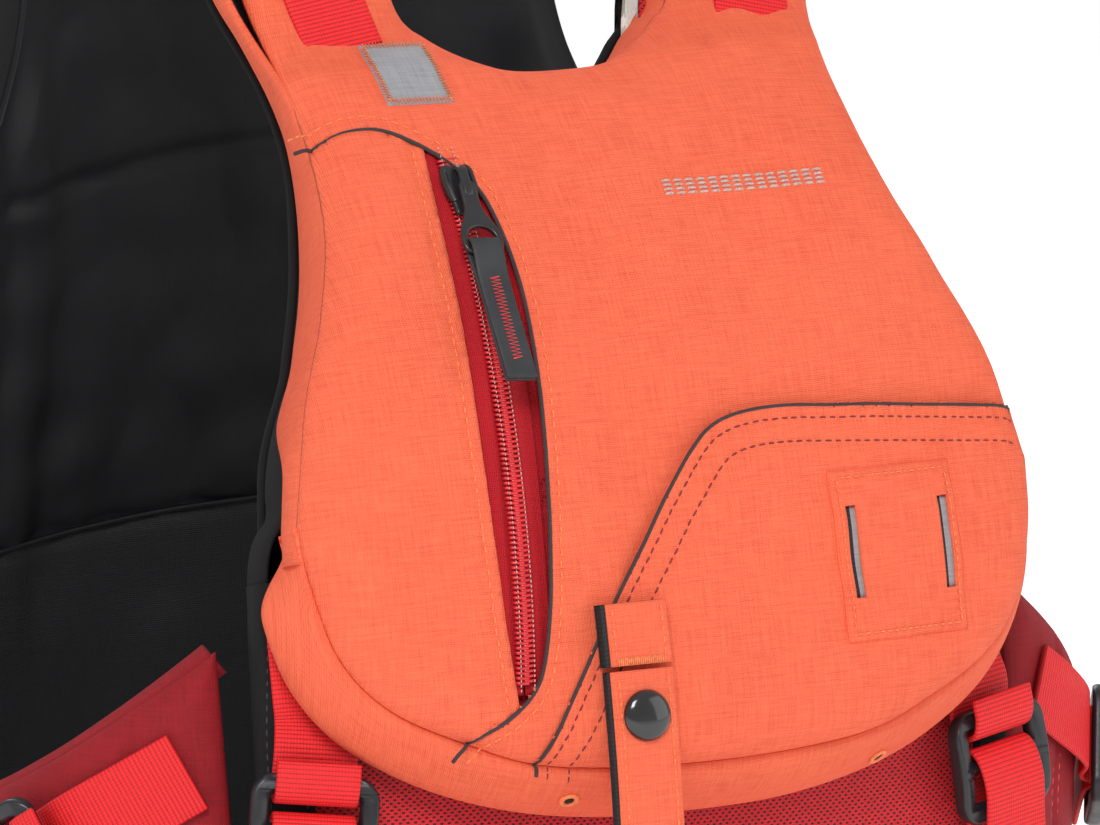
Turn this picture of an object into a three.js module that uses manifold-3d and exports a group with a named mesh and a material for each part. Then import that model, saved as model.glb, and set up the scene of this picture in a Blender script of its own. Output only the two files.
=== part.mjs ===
// A side-adjusted life jacket: curved foam panels round the chest, a padded outer shield on the front
// with a
// zipped pocket, a tuck pocket and a lashing patch, padded shoulders, webbing with ladder-lock
// buckles, and a
// waist belt with a side-release buckle. Millimetres, +Z up, the wearer faces -Y and their left is +X.
// The jacket stands on its hem at z = 0.
import * as THREE from "three";
import { mergeVertices } from "three/addons/utils/BufferGeometryUtils.js";
import Module from "manifold-3d";

const wasm = await Module();
wasm.setup();

// ---------- driving dimensions ----------
const CHEST_HALF_WIDTH = 168;
const CHEST_HALF_DEPTH = 118;
const CHEST_SQUARENESS = 3; // power of the superellipse that the chest section follows
const HEM_HEIGHT = 5;
const LAYER_GAP = 1.8;
const LINER_THICK = 2;
const SHELL_THICK = 1.6;
const FRONT_FOAM_THICK = 20;
const SHIELD_FOAM_THICK = 26;
const SIDE_FOAM_THICK = 15;
const BACK_FOAM_THICK = 26;
const BASE_HALF = 123; // half-width of the front panel, round the chest
const BACK_HALF = 156; // half-width of the back panel, round the chest
const SHIELD_HALF_WIDTH = 128;
const SHIELD_WIDEST_Z = 233;
const SHIELD_BOTTOM_Z = 152;
const NECK_Z = 358;
const NECK_HALF_WIDTH = 45;
const YOKE_Z = 402;
const YOKE_HALF_WIDTH = 98;
const ARMHOLE_Z = 148; // lowest point of the armhole, at the side
const BACK_TOP_Z = 425;
const SHOULDER_TOP_Z = 502;
const SHOULDER_PAD_WIDTH = 52;
const SHOULDER_PAD_THICK = 11;
const WEBBING_WIDTH = 25;
const WEBBING_THICK = 1.6;
const BINDING_WIDTH = 9;
const EDGE_INSET = 4; // how far foam stays inside the cloth round it
const ZIP_LOW_X = -60; // the zip leans a little towards the middle as it rises
const ZIP_HIGH_X = -51.5;
const ZIP_BOTTOM_Z = 196;
const ZIP_TOP_Z = 340;
const ZIP_CHAIN_WIDTH = 7;
const ZIP_CHAIN_THICK = 2.2;
const ZIP_TAPE_WIDTH = 5;
const ZIP_TAPE_THICK = 0.8;
const SLIDER_LENGTH = 17;
const SLIDER_WIDTH = 11;
const PULL_TAB_LENGTH = 20;
const PULL_STRIP_LENGTH = 38;
const PULL_STRIP_WIDTH = 8.4;
const PULL_RING_HALF = 6.4;
const LASH_X = 66;
const LASH_Z = 223;
const LASH_WIDTH = 43;
const LASH_HEIGHT = 48;
const LASH_SLOT_LENGTH = 26;
const LASH_SLOT_SPACING = 31;
const SNAP_TAB_X = -25;
const SNAP_TAB_WIDTH = 21;
const SNAP_TAB_TOP_Z = 218;
const SNAP_TACK_Z = 200;
const SNAP_Z = 186;
const SNAP_TAB_END_Z = 138;
const SNAP_CAP_RADIUS = 7.5;
const SNAP_CAP_HEIGHT = 3;
const LOCK_WIDTH = 38; // ladder-lock buckle
const LOCK_LENGTH = 34;
const LOCK_THICK = 3.4;
const LOCK_SLOT = 9;
const LOCK_MID_BAR = 4;
const LOCK_END_BAR = (LOCK_LENGTH - LOCK_MID_BAR - 2 * LOCK_SLOT) / 2;
const FRONT_LOCK_S = 106;
const FRONT_LOCK_Z = 149;
const SIDE_LOCK_S = 176;
const SIDE_LOCK_Z = 137;
const SIDE_STRAP_TILT = 1.02; // how far the side strap leans from upright, radians
const BELT_Z = 52;
const CLASP_LENGTH = 36;
const CLASP_HEIGHT = 34;
const CLASP_THICK = 10;

// ---------- the chest chart: s runs round the chest from the front centre, z is height, d is depth
// outwards ----------
const SECTION_STEPS = 720;
const smooth = (low, high, z) => THREE.MathUtils.smoothstep(z, low, high);

function sectionPoint(angle) {
  const across = Math.abs(Math.sin(angle) / CHEST_HALF_WIDTH) ** CHEST_SQUARENESS;
  const along = Math.abs(Math.cos(angle) / CHEST_HALF_DEPTH) ** CHEST_SQUARENESS;
  const reach = (across + along) ** (-1 / CHEST_SQUARENESS);
  return new THREE.Vector2(reach * Math.sin(angle), -reach * Math.cos(angle));
}

const sectionPoints = Array.from({ length: SECTION_STEPS + 1 }, (_, i) =>
  sectionPoint((i / SECTION_STEPS) * 2 * Math.PI),
);
const sectionLengths = [0];
for (let i = 1; i <= SECTION_STEPS; i++) {
  sectionLengths.push(sectionLengths[i - 1] + sectionPoints[i].distanceTo(sectionPoints[i - 1]));
}
const GIRTH = sectionLengths[SECTION_STEPS];
const BACK = GIRTH / 2; // s of the back centre

function section(s) {
  const wanted = ((s % GIRTH) + GIRTH) % GIRTH;
  let i = 1;
  while (sectionLengths[i] < wanted) i++;
  const share = (wanted - sectionLengths[i - 1]) / (sectionLengths[i] - sectionLengths[i - 1]);
  return sectionPoints[i - 1].clone().lerp(sectionPoints[i], share);
}

// The front leans back on an arc from LEAN_LOW to LEAN_HIGH, and eases upright above it.
const LEAN_LOW = 100;
const LEAN_HIGH = 340;
const LEAN_RADIUS = 406;
const LEAN_EASE = 30;
const arcLean = (z) => LEAN_RADIUS - Math.sqrt(LEAN_RADIUS ** 2 - (z - LEAN_LOW) ** 2);
const LEAN_SLOPE = (LEAN_HIGH - LEAN_LOW) / Math.sqrt(LEAN_RADIUS ** 2 - (LEAN_HIGH - LEAN_LOW) ** 2);
function lean(z) {
  if (z < LEAN_LOW) return 0;
  if (z < LEAN_HIGH) return arcLean(z);
  return arcLean(LEAN_HIGH) + LEAN_EASE * (1 - Math.exp((-(z - LEAN_HIGH) * LEAN_SLOPE) / LEAN_EASE));
}
const widthAt = (z) => 0.94 + 0.06 * smooth(20, 220, z) - 0.08 * smooth(300, 520, z);
const frontAt = (z) => 0.95 + 0.05 * smooth(20, 150, z) - lean(z) / CHEST_HALF_DEPTH;
const backAt = (z) => 0.92 + 0.08 * smooth(20, 250, z) - 0.12 * smooth(380, 500, z);

function skin(s, z) {
  const p = section(s);
  return new THREE.Vector3(p.x * widthAt(z), p.y * (p.y < 0 ? frontAt(z) : backAt(z)), z);
}

function outward(s, z) {
  const step = 0.5;
  const round = skin(s + step, z).sub(skin(s - step, z));
  const rise = skin(s, z + step).sub(skin(s, z - step));
  return round.cross(rise).normalize();
}

const place = (s, z, d = 0) => skin(s, z).addScaledVector(outward(s, z), d);

// ---------- depths of the layers ----------
const level = (value) => (typeof value === "function" ? value : () => value);
const STRAP_SPACE = WEBBING_THICK + 2; // room for a strap between the front panel and the shield
const frontFoamAt = (z) => FRONT_FOAM_THICK - 12 * smooth(280, 400, z);
const shieldFoamAt = (z) => SHIELD_FOAM_THICK - 20 * smooth(240, 400, z);
const FOAM_IN = LINER_THICK + LAYER_GAP + 0.4;
const frontFoamOut = (z) => FOAM_IN + frontFoamAt(z);
const frontShellIn = (z) => frontFoamOut(z) + LAYER_GAP;
const frontShellOut = (z) => frontShellIn(z) + SHELL_THICK;
const shieldIn = (z) => frontShellOut(z) + STRAP_SPACE;
const shieldFoamOut = (z) => shieldIn(z) + shieldFoamAt(z);
const faceIn = (z) => shieldFoamOut(z) + LAYER_GAP;
const faceOut = (z) => faceIn(z) + SHELL_THICK;
const overIn = (z) => faceOut(z) + LAYER_GAP;
const overOut = (z) => overIn(z) + SHELL_THICK;
const backFoamAt = (z) => BACK_FOAM_THICK - 14 * smooth(300, 410, z);
const backFoamOut = (z) => FOAM_IN + backFoamAt(z);
const backShellIn = (z) => backFoamOut(z) + LAYER_GAP;
const backShellOut = (z) => backShellIn(z) + SHELL_THICK;
const SIDE_FOAM_OUT = FOAM_IN + SIDE_FOAM_THICK;
const SIDE_SHELL_IN = SIDE_FOAM_OUT + LAYER_GAP;
const SIDE_SHELL_OUT = SIDE_SHELL_IN + SHELL_THICK;

// The chart coordinates of what the front view shows at x, z on a surface at some depth.
function seen([x, z], depth = faceOut) {
  let [s, height] = [x, z];
  for (let i = 0; i < 40; i++) {
    const p = place(s, height, level(depth)(height));
    s += 0.6 * (x - p.x);
    height += 0.6 * (z - p.z);
  }
  return [s, height];
}

// ---------- helpers ----------
const jacket = new THREE.Group();
const RED = 0xc41a26;
const ORANGE = 0xf4481e;
const BLACK = 0x17171a;
const STRAP_RED = 0xe0161c;
const FOAM = 0xd9d6cc;
const cloth = (color) => new THREE.MeshStandardMaterial({ color, roughness: 0.85, metalness: 0 });
const plastic = (color) => new THREE.MeshStandardMaterial({ color, roughness: 0.45, metalness: 0 });
const metal = (color) => new THREE.MeshStandardMaterial({ color, roughness: 0.35, metalness: 0.6 });

// Turns the faces of a closed geometry outwards.
function facingOut(geometry) {
  const g = geometry.index ? geometry.toNonIndexed() : geometry;
  const p = g.attributes.position;
  const [a, b, c] = [new THREE.Vector3(), new THREE.Vector3(), new THREE.Vector3()];
  let volume = 0;
  for (let i = 0; i < p.count; i += 3) {
    a.fromBufferAttribute(p, i);
    b.fromBufferAttribute(p, i + 1);
    c.fromBufferAttribute(p, i + 2);
    volume += a.dot(b.cross(c));
  }
  if (volume < 0) {
    for (let i = 0; i < p.count; i += 3) {
      b.fromBufferAttribute(p, i + 1);
      c.fromBufferAttribute(p, i + 2);
      p.setXYZ(i + 1, c.x, c.y, c.z);
      p.setXYZ(i + 2, b.x, b.y, b.z);
    }
  }
  g.computeVertexNormals();
  return g;
}

// Moves each vertex of a geometry to move(x, y, z).
function warp(geometry, move) {
  const p = geometry.attributes.position;
  for (let i = 0; i < p.count; i++) {
    const q = move(p.getX(i), p.getY(i), p.getZ(i));
    p.setXYZ(i, q.x, q.y, q.z);
  }
  return facingOut(geometry);
}

function add(name, geometry, material, parent = jacket) {
  const mesh = new THREE.Mesh(geometry, material);
  mesh.name = name;
  parent.add(mesh);
  return mesh;
}

const curve = (points) => new THREE.SplineCurve(points.map(([s, z]) => new THREE.Vector2(s, z)));
const line = (from, to) => new THREE.LineCurve(new THREE.Vector2(...from), new THREE.Vector2(...to));
const mirrored = (points) => points.map(([s, z]) => [-s, z]).reverse();

// A point of the patch between four edges: bottom and top run left to right, left and right run upwards.
function coons(edge, u, v) {
  const [b, t] = [edge.bottom.getPoint(u), edge.top.getPoint(u)];
  const [l, r] = [edge.left.getPoint(v), edge.right.getPoint(v)];
  const corner = (i, j) => (j ? edge.top : edge.bottom).getPoint(i);
  const mix = (k) =>
    (1 - v) * b[k] + v * t[k] + (1 - u) * l[k] + u * r[k] -
    ((1 - u) * (1 - v) * corner(0, 0)[k] + u * (1 - v) * corner(1, 0)[k] +
      (1 - u) * v * corner(0, 1)[k] + u * v * corner(1, 1)[k]);
  return [mix("x"), mix("y")];
}

// A unit slab whose two faces are split along the same diagonals, so that stacked layers stay parallel.
function slab(across, up) {
  const corners = [];
  const quad = (a, b, c, d) => corners.push(a, b, c, a, c, d);
  for (let i = 0; i < across; i++) {
    const [left, right] = [i / across, (i + 1) / across];
    for (let j = 0; j < up; j++) {
      const [low, high] = [j / up, (j + 1) / up];
      quad([left, low, 1], [right, low, 1], [right, high, 1], [left, high, 1]);
      corners.push([left, low, 0], [right, high, 0], [right, low, 0]);
      corners.push([left, low, 0], [left, high, 0], [right, high, 0]);
      if (i === 0) {
        quad([0, low, 0], [0, low, 1], [0, high, 1], [0, high, 0]);
        quad([1, low, 1], [1, low, 0], [1, high, 0], [1, high, 1]);
      }
    }
    quad([left, 0, 0], [right, 0, 0], [right, 0, 1], [left, 0, 1]);
    quad([left, 1, 1], [right, 1, 1], [right, 1, 0], [left, 1, 0]);
  }
  const geometry = new THREE.BufferGeometry();
  geometry.setAttribute("position", new THREE.Float32BufferAttribute(corners.flat(), 3));
  return geometry;
}

// A layer on the chest chart between four edges and two depths.
function layer(name, material, edge, low, high, across, up, side = 1) {
  const geometry = warp(slab(across, up), (x, y, z) => {
    const [s, height] = coons(edge, x, y);
    return place(side * s, height, level(z ? high : low)(height, y));
  });
  return add(name, geometry, material);
}

// A flat strap along points, its face turned to the normals that go with them.
function ribbon(name, material, points, normals, width, thick, steps, parent = jacket) {
  const path = new THREE.CatmullRomCurve3(points);
  const facing = new THREE.CatmullRomCurve3(normals);
  const box = new THREE.BoxGeometry(width, thick, 1, 1, 1, steps);
  const geometry = warp(box, (x, y, z) => {
    const t = z + 0.5;
    const along = path.getTangent(t);
    const out = facing.getPoint(t);
    out.addScaledVector(along, -out.dot(along)).normalize();
    const across = new THREE.Vector3().crossVectors(out, along);
    return path.getPoint(t).addScaledVector(across, x).addScaledVector(out, y);
  });
  return add(name, geometry, material, parent);
}

// A strap that lies on the chart through [s, z, d] points.
function chartRibbon(name, material, route, width, thick, steps) {
  return ribbon(
    name,
    material,
    route.map(([s, z, d]) => place(s, z, d)),
    route.map(([s, z]) => outward(s, z)),
    width,
    thick,
    steps,
  );
}

// A group standing on the chart: its X runs round the chest turned by tilt, its Y up, its Z outwards.
function station(s, z, d, tilt = 0) {
  const out = outward(s, z);
  const round = skin(s + 1, z).sub(skin(s - 1, z)).normalize();
  const up = new THREE.Vector3().crossVectors(out, round);
  const group = new THREE.Group();
  group.matrix.makeBasis(round, up, out).setPosition(place(s, z, d));
  group.matrix.decompose(group.position, group.quaternion, group.scale);
  group.rotateZ(tilt);
  jacket.add(group);
  return group;
}

function roundedRect(width, height, radius, centreY = 0) {
  const [x, y] = [width / 2, height / 2];
  const shape = new THREE.Shape();
  shape.moveTo(-x + radius, centreY - y);
  shape.lineTo(x - radius, centreY - y);
  shape.absarc(x - radius, centreY - y + radius, radius, -Math.PI / 2, 0);
  shape.lineTo(x, centreY + y - radius);
  shape.absarc(x - radius, centreY + y - radius, radius, 0, Math.PI / 2);
  shape.lineTo(-x + radius, centreY + y);
  shape.absarc(-x + radius, centreY + y - radius, radius, Math.PI / 2, Math.PI);
  shape.lineTo(-x, centreY - y + radius);
  shape.absarc(-x + radius, centreY - y + radius, radius, Math.PI, 1.5 * Math.PI);
  return shape;
}

const extrude = (shape, depth) => new THREE.ExtrudeGeometry(shape, { depth, bevelEnabled: false,
  curveSegments: 3 });

// ---------- joins and cuts ----------
function solid(geometry) {
  const bare = new THREE.BufferGeometry();
  const source = facingOut(geometry);
  bare.setAttribute("position", source.attributes.position.clone());
  const merged = mergeVertices(bare, 1e-4);
  return new wasm.Manifold(
    new wasm.Mesh({
      numProp: 3,
      vertProperties: merged.attributes.position.array,
      triVerts: new Uint32Array(merged.index.array),
    }),
  );
}

function geometryOf(manifold) {
  const mesh = manifold.getMesh();
  const geometry = new THREE.BufferGeometry();
  geometry.setAttribute("position", new THREE.BufferAttribute(new Float32Array(mesh.vertProperties), 3));
  geometry.setIndex([...mesh.triVerts]);
  return facingOut(geometry);
}

const joined = (geometries) => geometryOf(geometries.map(solid).reduce((a, b) => a.add(b)));
const cut = (geometry, tool) => geometryOf(solid(geometry).subtract(solid(tool)));

// ---------- outlines on the chest chart ----------
const onFace = (points) => points.map((point) => seen(point));
const onBase = (points) => points.map((point) => seen(point, (z) => shieldIn(z) + 4));
const flipped = (points) => points.map(([s, z]) => [-s, z]);
const inward = (points, inset) => points.map(([s, z]) => [s - Math.sign(s) * inset, z]);
const lowered = (points, drop) => points.map(([s, z]) => [s, z - drop]);
const lineFrom = (a, b) => new THREE.LineCurve(a.clone(), b.clone());

const armhole = onFace([
  [121, 245], [113, 278], [102, 303], [92, 330], [88, 360], [91, 385],
]);
const yokeCorner = [YOKE_HALF_WIDTH, YOKE_Z];
const neckRight = [...onFace([[0, NECK_Z], [22, NECK_Z + 1.5], [34, NECK_Z + 10]]), [NECK_HALF_WIDTH,
  YOKE_Z]];
const neckline = [...mirrored(neckRight), ...neckRight.slice(1)];
const frontTop = [flipped([yokeCorner])[0], ...neckline, yokeCorner];
const armholeRight = [...armhole, yokeCorner];
const seamRight = onFace([[0, SHIELD_BOTTOM_Z + 17], [50, 172], [78, 181], [100, 192], [113, 207], [119,
  228], [121, 245]]);
const rimRight = onBase([
  [0, SHIELD_BOTTOM_Z], [50, SHIELD_BOTTOM_Z + 4], [85, 168], [104, 180], [118, 197], [127, 216],
    [SHIELD_HALF_WIDTH, SHIELD_WIDEST_Z + 4],
]);

const BASE_SIDE_TOP = 215; // where the front panel's side edge meets the armhole
function baseEdge(inset, drop) {
  const half = BASE_HALF - inset;
  const low = HEM_HEIGHT + 1;
  const side = [[half, low], [half, 110], [half - 1, BASE_SIDE_TOP]];
  const right = [...side, ...lowered(inward(armholeRight.slice(1), inset), drop)];
  return {
    bottom: line([-half, low], [half, low]),
    top: curve(lowered(inward(frontTop, inset), drop)),
    left: curve(flipped(right)),
    right: curve(right),
  };
}

function shieldEdge(inset) {
  const shrink = ([s, z]) => [
    s * (1 - inset / SHIELD_HALF_WIDTH),
    z + (z < SHIELD_WIDEST_Z ? (inset * (SHIELD_WIDEST_Z - z)) / (SHIELD_WIDEST_Z - SHIELD_BOTTOM_Z) : 0),
  ];
  const bottomRight = seamRight.map(shrink);
  return {
    bottom: curve([...mirrored(bottomRight), ...bottomRight.slice(1)]),
    top: curve(lowered(inward(frontTop, inset), inset / 2)),
    left: curve(flipped([bottomRight.at(-1), ...lowered(inward(armholeRight.slice(1), inset), inset / 2)])),
    right: curve([bottomRight.at(-1), ...lowered(inward(armholeRight.slice(1), inset), inset / 2)]),
  };
}

const rectangle = (left, right, low, high) => ({
  bottom: line([left, low], [right, low]),
  top: line([left, high], [right, high]),
  left: line([left, low], [left, high]),
  right: line([right, low], [right, high]),
});
const patchwork = (bottom, top, left, right) => ({
  bottom: curve(onFace(bottom)),
  top: curve(onFace(top)),
  left: curve(onFace(left)),
  right: curve(onFace(right)),
});

// ---------- front panel ----------
const innerBase = baseEdge(BINDING_WIDTH + 1.5, EDGE_INSET);
function frontPanel() {
  layer("front_liner", cloth(BLACK), baseEdge(0, 0), 0, LINER_THICK, 12, 10);
  layer("front_foam_core", cloth(FOAM), innerBase, FOAM_IN, frontFoamOut, 12, 10);
  layer("front_outer_shell", cloth(RED), innerBase, frontShellIn, frontShellOut, 12, 10);
  layer("front_hem", cloth(BLACK), rectangle(-BASE_HALF, BASE_HALF, 0, HEM_HEIGHT), 0, frontShellOut,
    12, 1);
  const low = HEM_HEIGHT + 1;
  for (const [name, side] of [["left", 1], ["right", -1]]) {
    const strip = rectangle(BASE_HALF - BINDING_WIDTH, BASE_HALF, low, BASE_SIDE_TOP - 5);
    layer("front_binding_" + name, cloth(BLACK), strip, FOAM_IN, frontShellOut, 1, 8, side);
  }
}

// ---------- shield: the padded outer front ----------
const GUSSET_LIP = 8; // thickness of the gusset at its outer edge
function shield() {
  layer("shield_foam_core", cloth(FOAM), shieldEdge(EDGE_INSET), shieldIn, shieldFoamOut, 12, 10);
  layer("shield_face", cloth(ORANGE), shieldEdge(2), faceIn, faceOut, 12, 10);
  const seam = curve([...mirrored(seamRight), ...seamRight.slice(1)]);
  const rim = {
    bottom: curve([...mirrored(rimRight), ...rimRight.slice(1)]),
    top: seam,
  };
  rim.left = lineFrom(rim.bottom.getPoint(0), seam.getPoint(0));
  rim.right = lineFrom(rim.bottom.getPoint(1), seam.getPoint(1));
  const slope = (z, v) => shieldIn(z) + GUSSET_LIP + v * (faceOut(z) - shieldIn(z) - GUSSET_LIP);
  layer("shield_gusset", cloth(ORANGE), rim, (z, v) => shieldIn(z) + 2.2 * (1 - v), slope, 22, 1);
}

// ---------- zip: a chain on an arc, two tapes, a slider with its tab and strip ----------
const zipMiddleZ = (ZIP_BOTTOM_Z + ZIP_TOP_Z) / 2;
const zipX = (z) => THREE.MathUtils.mapLinear(z, ZIP_BOTTOM_Z, ZIP_TOP_Z, ZIP_LOW_X, ZIP_HIGH_X);
const zipPoint = (z) => {
  const [s, height] = seen([zipX(z), z]);
  return place(s, height, faceOut(height));
};

// The circle through three points: its centre, axis and radius.
function circleThrough(a, b, c) {
  const [ab, ac] = [b.clone().sub(a), c.clone().sub(a)];
  const axis = ab.clone().cross(ac);
  const scale = 2 * axis.lengthSq();
  const centre = axis.clone().cross(ab).multiplyScalar(ac.lengthSq());
  centre.add(ac.clone().cross(axis).multiplyScalar(ab.lengthSq())).divideScalar(scale).add(a);
  return { centre, axis: axis.normalize(), radius: centre.distanceTo(a) };
}

const zipCircle = circleThrough(zipPoint(ZIP_BOTTOM_Z), zipPoint(zipMiddleZ), zipPoint(ZIP_TOP_Z));
const zipTop = zipPoint(ZIP_TOP_Z).sub(zipCircle.centre);
const zipTurn = zipTop.angleTo(zipPoint(ZIP_BOTTOM_Z).sub(zipCircle.centre));

// The frame of the zip at an angle down from its top: u across, v up along the chain, w outwards.
function zipFrame(turn) {
  const out = zipTop.clone().applyAxisAngle(zipCircle.axis, -turn).normalize();
  const across = zipCircle.axis.clone();
  if (across.x < 0) across.negate();
  const up = new THREE.Vector3().crossVectors(out, across);
  return { out, across, up };
}
const downwards = zipTop.clone().applyAxisAngle(zipCircle.axis, -0.01).z < zipTop.z ? 1 : -1;

function zipStrip(name, material, left, right, low, high, steps) {
  const box = new THREE.BoxGeometry(1, 1, 1, 1, steps, 1);
  const geometry = warp(box, (x, y, z) => {
    const { out, across } = zipFrame(downwards * (0.5 - y) * zipTurn);
    const reach = zipCircle.radius + (z < 0 ? low : high);
    return zipCircle.centre
      .clone()
      .addScaledVector(out, reach)
      .addScaledVector(across, x < 0 ? left : right);
  });
  return add(name, geometry, material);
}

const zipPivot = new THREE.Group();
zipPivot.position.copy(zipCircle.centre);
jacket.add(zipPivot);

function zipStation(turn, rise) {
  const { out, across, up } = zipFrame(turn);
  const group = new THREE.Group();
  group.matrix.makeBasis(across, up, out).setPosition(out.clone().multiplyScalar(zipCircle.radius + rise));
  group.matrix.decompose(group.position, group.quaternion, group.scale);
  zipPivot.add(group);
  return group;
}

const ZIP_RISE = 1.6; // clearance of the tapes over the face
const CHAIN_LOW = ZIP_RISE;
const CHAIN_HIGH = CHAIN_LOW + ZIP_CHAIN_THICK;
const SLIDER_LOW = CHAIN_HIGH + 0.5;
const SLIDER_BODY = 2.4;
const PULL_HINGE_RISE = SLIDER_LOW + SLIDER_BODY + 2.4;
const sliderTurn = (downwards * (SLIDER_LENGTH / 2 + 1)) / zipCircle.radius;

function zip() {
  const half = ZIP_CHAIN_WIDTH / 2;
  const gap = 0.5;
  zipStrip("zip_chain", plastic(STRAP_RED), -half, half, CHAIN_LOW, CHAIN_HIGH, 12);
  const outer = half + gap + ZIP_TAPE_WIDTH;
  zipStrip("zip_tape_right", cloth(RED), -outer, -half - gap, ZIP_RISE, ZIP_RISE + ZIP_TAPE_THICK, 12);
  zipStrip("zip_tape_left", cloth(RED), half + gap, outer, ZIP_RISE, ZIP_RISE + ZIP_TAPE_THICK, 12);

  const slider = zipStation(sliderTurn, SLIDER_LOW);
  const plate = extrude(roundedRect(SLIDER_WIDTH, SLIDER_LENGTH, 3), SLIDER_BODY);
  const posts = [-1, 1].map((side) => {
    const post = new THREE.BoxGeometry(2.2, 6, 4);
    post.translate(side * 4.3, -4, SLIDER_BODY + 1.6);
    return post;
  });
  add("zip_slider", joined([plate, ...posts]), metal(BLACK), slider);

  const pull = zipStation(sliderTurn, PULL_HINGE_RISE);
  const eyeY = -PULL_TAB_LENGTH + 0.5;
  const ring = new THREE.Shape();
  ring.absarc(0, -2, 2.3, 0, Math.PI);
  ring.lineTo(-2.3, -9);
  ring.lineTo(-PULL_RING_HALF, eyeY + 3);
  ring.lineTo(-PULL_RING_HALF, eyeY - 1);
  ring.lineTo(-PULL_RING_HALF + 3, eyeY - 4);
  ring.lineTo(PULL_RING_HALF - 3, eyeY - 4);
  ring.lineTo(PULL_RING_HALF, eyeY - 1);
  ring.lineTo(PULL_RING_HALF, eyeY + 3);
  ring.lineTo(2.3, -9);
  ring.holes.push(new THREE.Path(roundedRect(PULL_STRIP_WIDTH + 1, 4, 1, eyeY).getPoints(2)));
  const tab = extrude(ring, 1.6);
  tab.translate(0, 0, -0.8);
  add("zip_pull_tab", facingOut(tab), metal(BLACK), pull);

  const end = eyeY - PULL_STRIP_LENGTH;
  const loop = [
    [0, end, -1.2], [0, eyeY - 12, -1.2], [0, eyeY - 6, -1.8], [0, eyeY - 2, -1.9], [0, eyeY, 0],
    [0, eyeY - 2, 1.9], [0, eyeY - 6, 1.8], [0, eyeY - 12, 0.4], [0, end, 0.4],
  ].map((p) => new THREE.Vector3(...p));
  const away = [
    [0, 0, -1], [0, 0, -1], [0, 0, -1], [0, 0, -1], [0, 1, 0], [0, 0, 1], [0, 0, 1], [0, 0, 1], [0, 0, 1],
  ].map((p) => new THREE.Vector3(...p));
  ribbon("zip_pull_strip", cloth(BLACK), loop, away, PULL_STRIP_WIDTH, 1, 22, pull);
}

// ---------- pockets and fittings on the shield ----------
function chestPocket() {
  const edge = patchwork(
    [[-108, 205], [-98, 197], [-86, 190], [-74, 185]],
    [[-84, 340], [-76, 341], [-64, 338]],
    [[-108, 205], [-115, 230], [-110, 262], [-102, 285], [-94, 308], [-87, 328], [-84, 340]],
    [[-74, 185], [-70, 235], [-67, 290], [-64, 338]],
  );
  layer("chest_pocket_panel", cloth(ORANGE), edge, overIn, overOut, 4, 10);
}

function lowerPocket() {
  const edge = patchwork(
    [[-46, 178], [-20, 175], [30, 176], [62, 181], [90, 191], [108, 207]],
    [[-2, 262], [14, 268], [60, 265], [106, 256]],
    [[-46, 178], [-29, 219], [-2, 262]],
    [[108, 207], [111, 230], [106, 256]],
  );
  layer("lower_pocket_panel", cloth(ORANGE), edge, overIn, overOut, 10, 6);

  const [s, z] = seen([LASH_X, LASH_Z]);
  const patch = roundedRect(LASH_WIDTH, LASH_HEIGHT, 2);
  for (const side of [-1, 1]) {
    const slot = roundedRect(3.2, LASH_SLOT_LENGTH, 1.5);
    const at = new THREE.Vector2((side * LASH_SLOT_SPACING) / 2, 0);
    patch.holes.push(new THREE.Path(slot.getPoints(4).map((p) => p.add(at))));
  }
  add("lash_patch", extrude(patch, SHELL_THICK), cloth(ORANGE), station(s, z, overOut(z) + 0.6));
}

const PATCH_X = -52;
const PATCH_WIDTH = 34;
const PATCH_HEIGHT = 24;
function reflectivePatch() {
  const [s, z] = seen([PATCH_X, 364]);
  const edge = rectangle(s - PATCH_WIDTH / 2, s + PATCH_WIDTH / 2, z - PATCH_HEIGHT / 2,
    z + PATCH_HEIGHT / 2);
  layer("reflective_patch", cloth(0xc9ccd0), edge, overIn, (height) => overIn(height) + 0.9, 4, 3);
}

const TAB_DEPTH = (z) => overOut(z) + 3.2;
const tabRoute = (heights) => heights.map((z) => [...seen([SNAP_TAB_X, z], TAB_DEPTH)]);
function snapTab() {
  const fixed = tabRoute([SNAP_TAB_TOP_Z, 212, 206, SNAP_TACK_Z + 0.8]);
  chartRibbon("snap_tab_loop", cloth(ORANGE), fixed.map(([s, z]) => [s, z, TAB_DEPTH(z)]),
    SNAP_TAB_WIDTH, 2.2, 4);
  const free = tabRoute([SNAP_TACK_Z - 0.8, 186, 170, 155, SNAP_TAB_END_Z]);
  chartRibbon("snap_tab", cloth(ORANGE), free.map(([s, z]) => [s, z, TAB_DEPTH(z)]), SNAP_TAB_WIDTH,
    2.2, 8);
  const [s, z] = seen([SNAP_TAB_X, SNAP_Z], TAB_DEPTH);
  const dome = [
    [0, 0], [SNAP_CAP_RADIUS, 0], [SNAP_CAP_RADIUS, 0.8], [SNAP_CAP_RADIUS - 1, 1.9],
      [SNAP_CAP_RADIUS - 3.5, 2.7], [0, SNAP_CAP_HEIGHT],
  ].map(([r, h]) => new THREE.Vector2(r, h));
  const cap = new THREE.LatheGeometry(dome, 24);
  cap.rotateX(Math.PI / 2);
  add("snap_cap", facingOut(cap), metal(BLACK), station(s, z, TAB_DEPTH(z) + 1.5));
  const stud = new THREE.CylinderGeometry(5, 5.5, 1.2, 20);
  stud.rotateX(Math.PI / 2);
  add("snap_stud", stud, metal(0x8a8d90), station(s, z, overOut(z) + 1.1));
}

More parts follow.
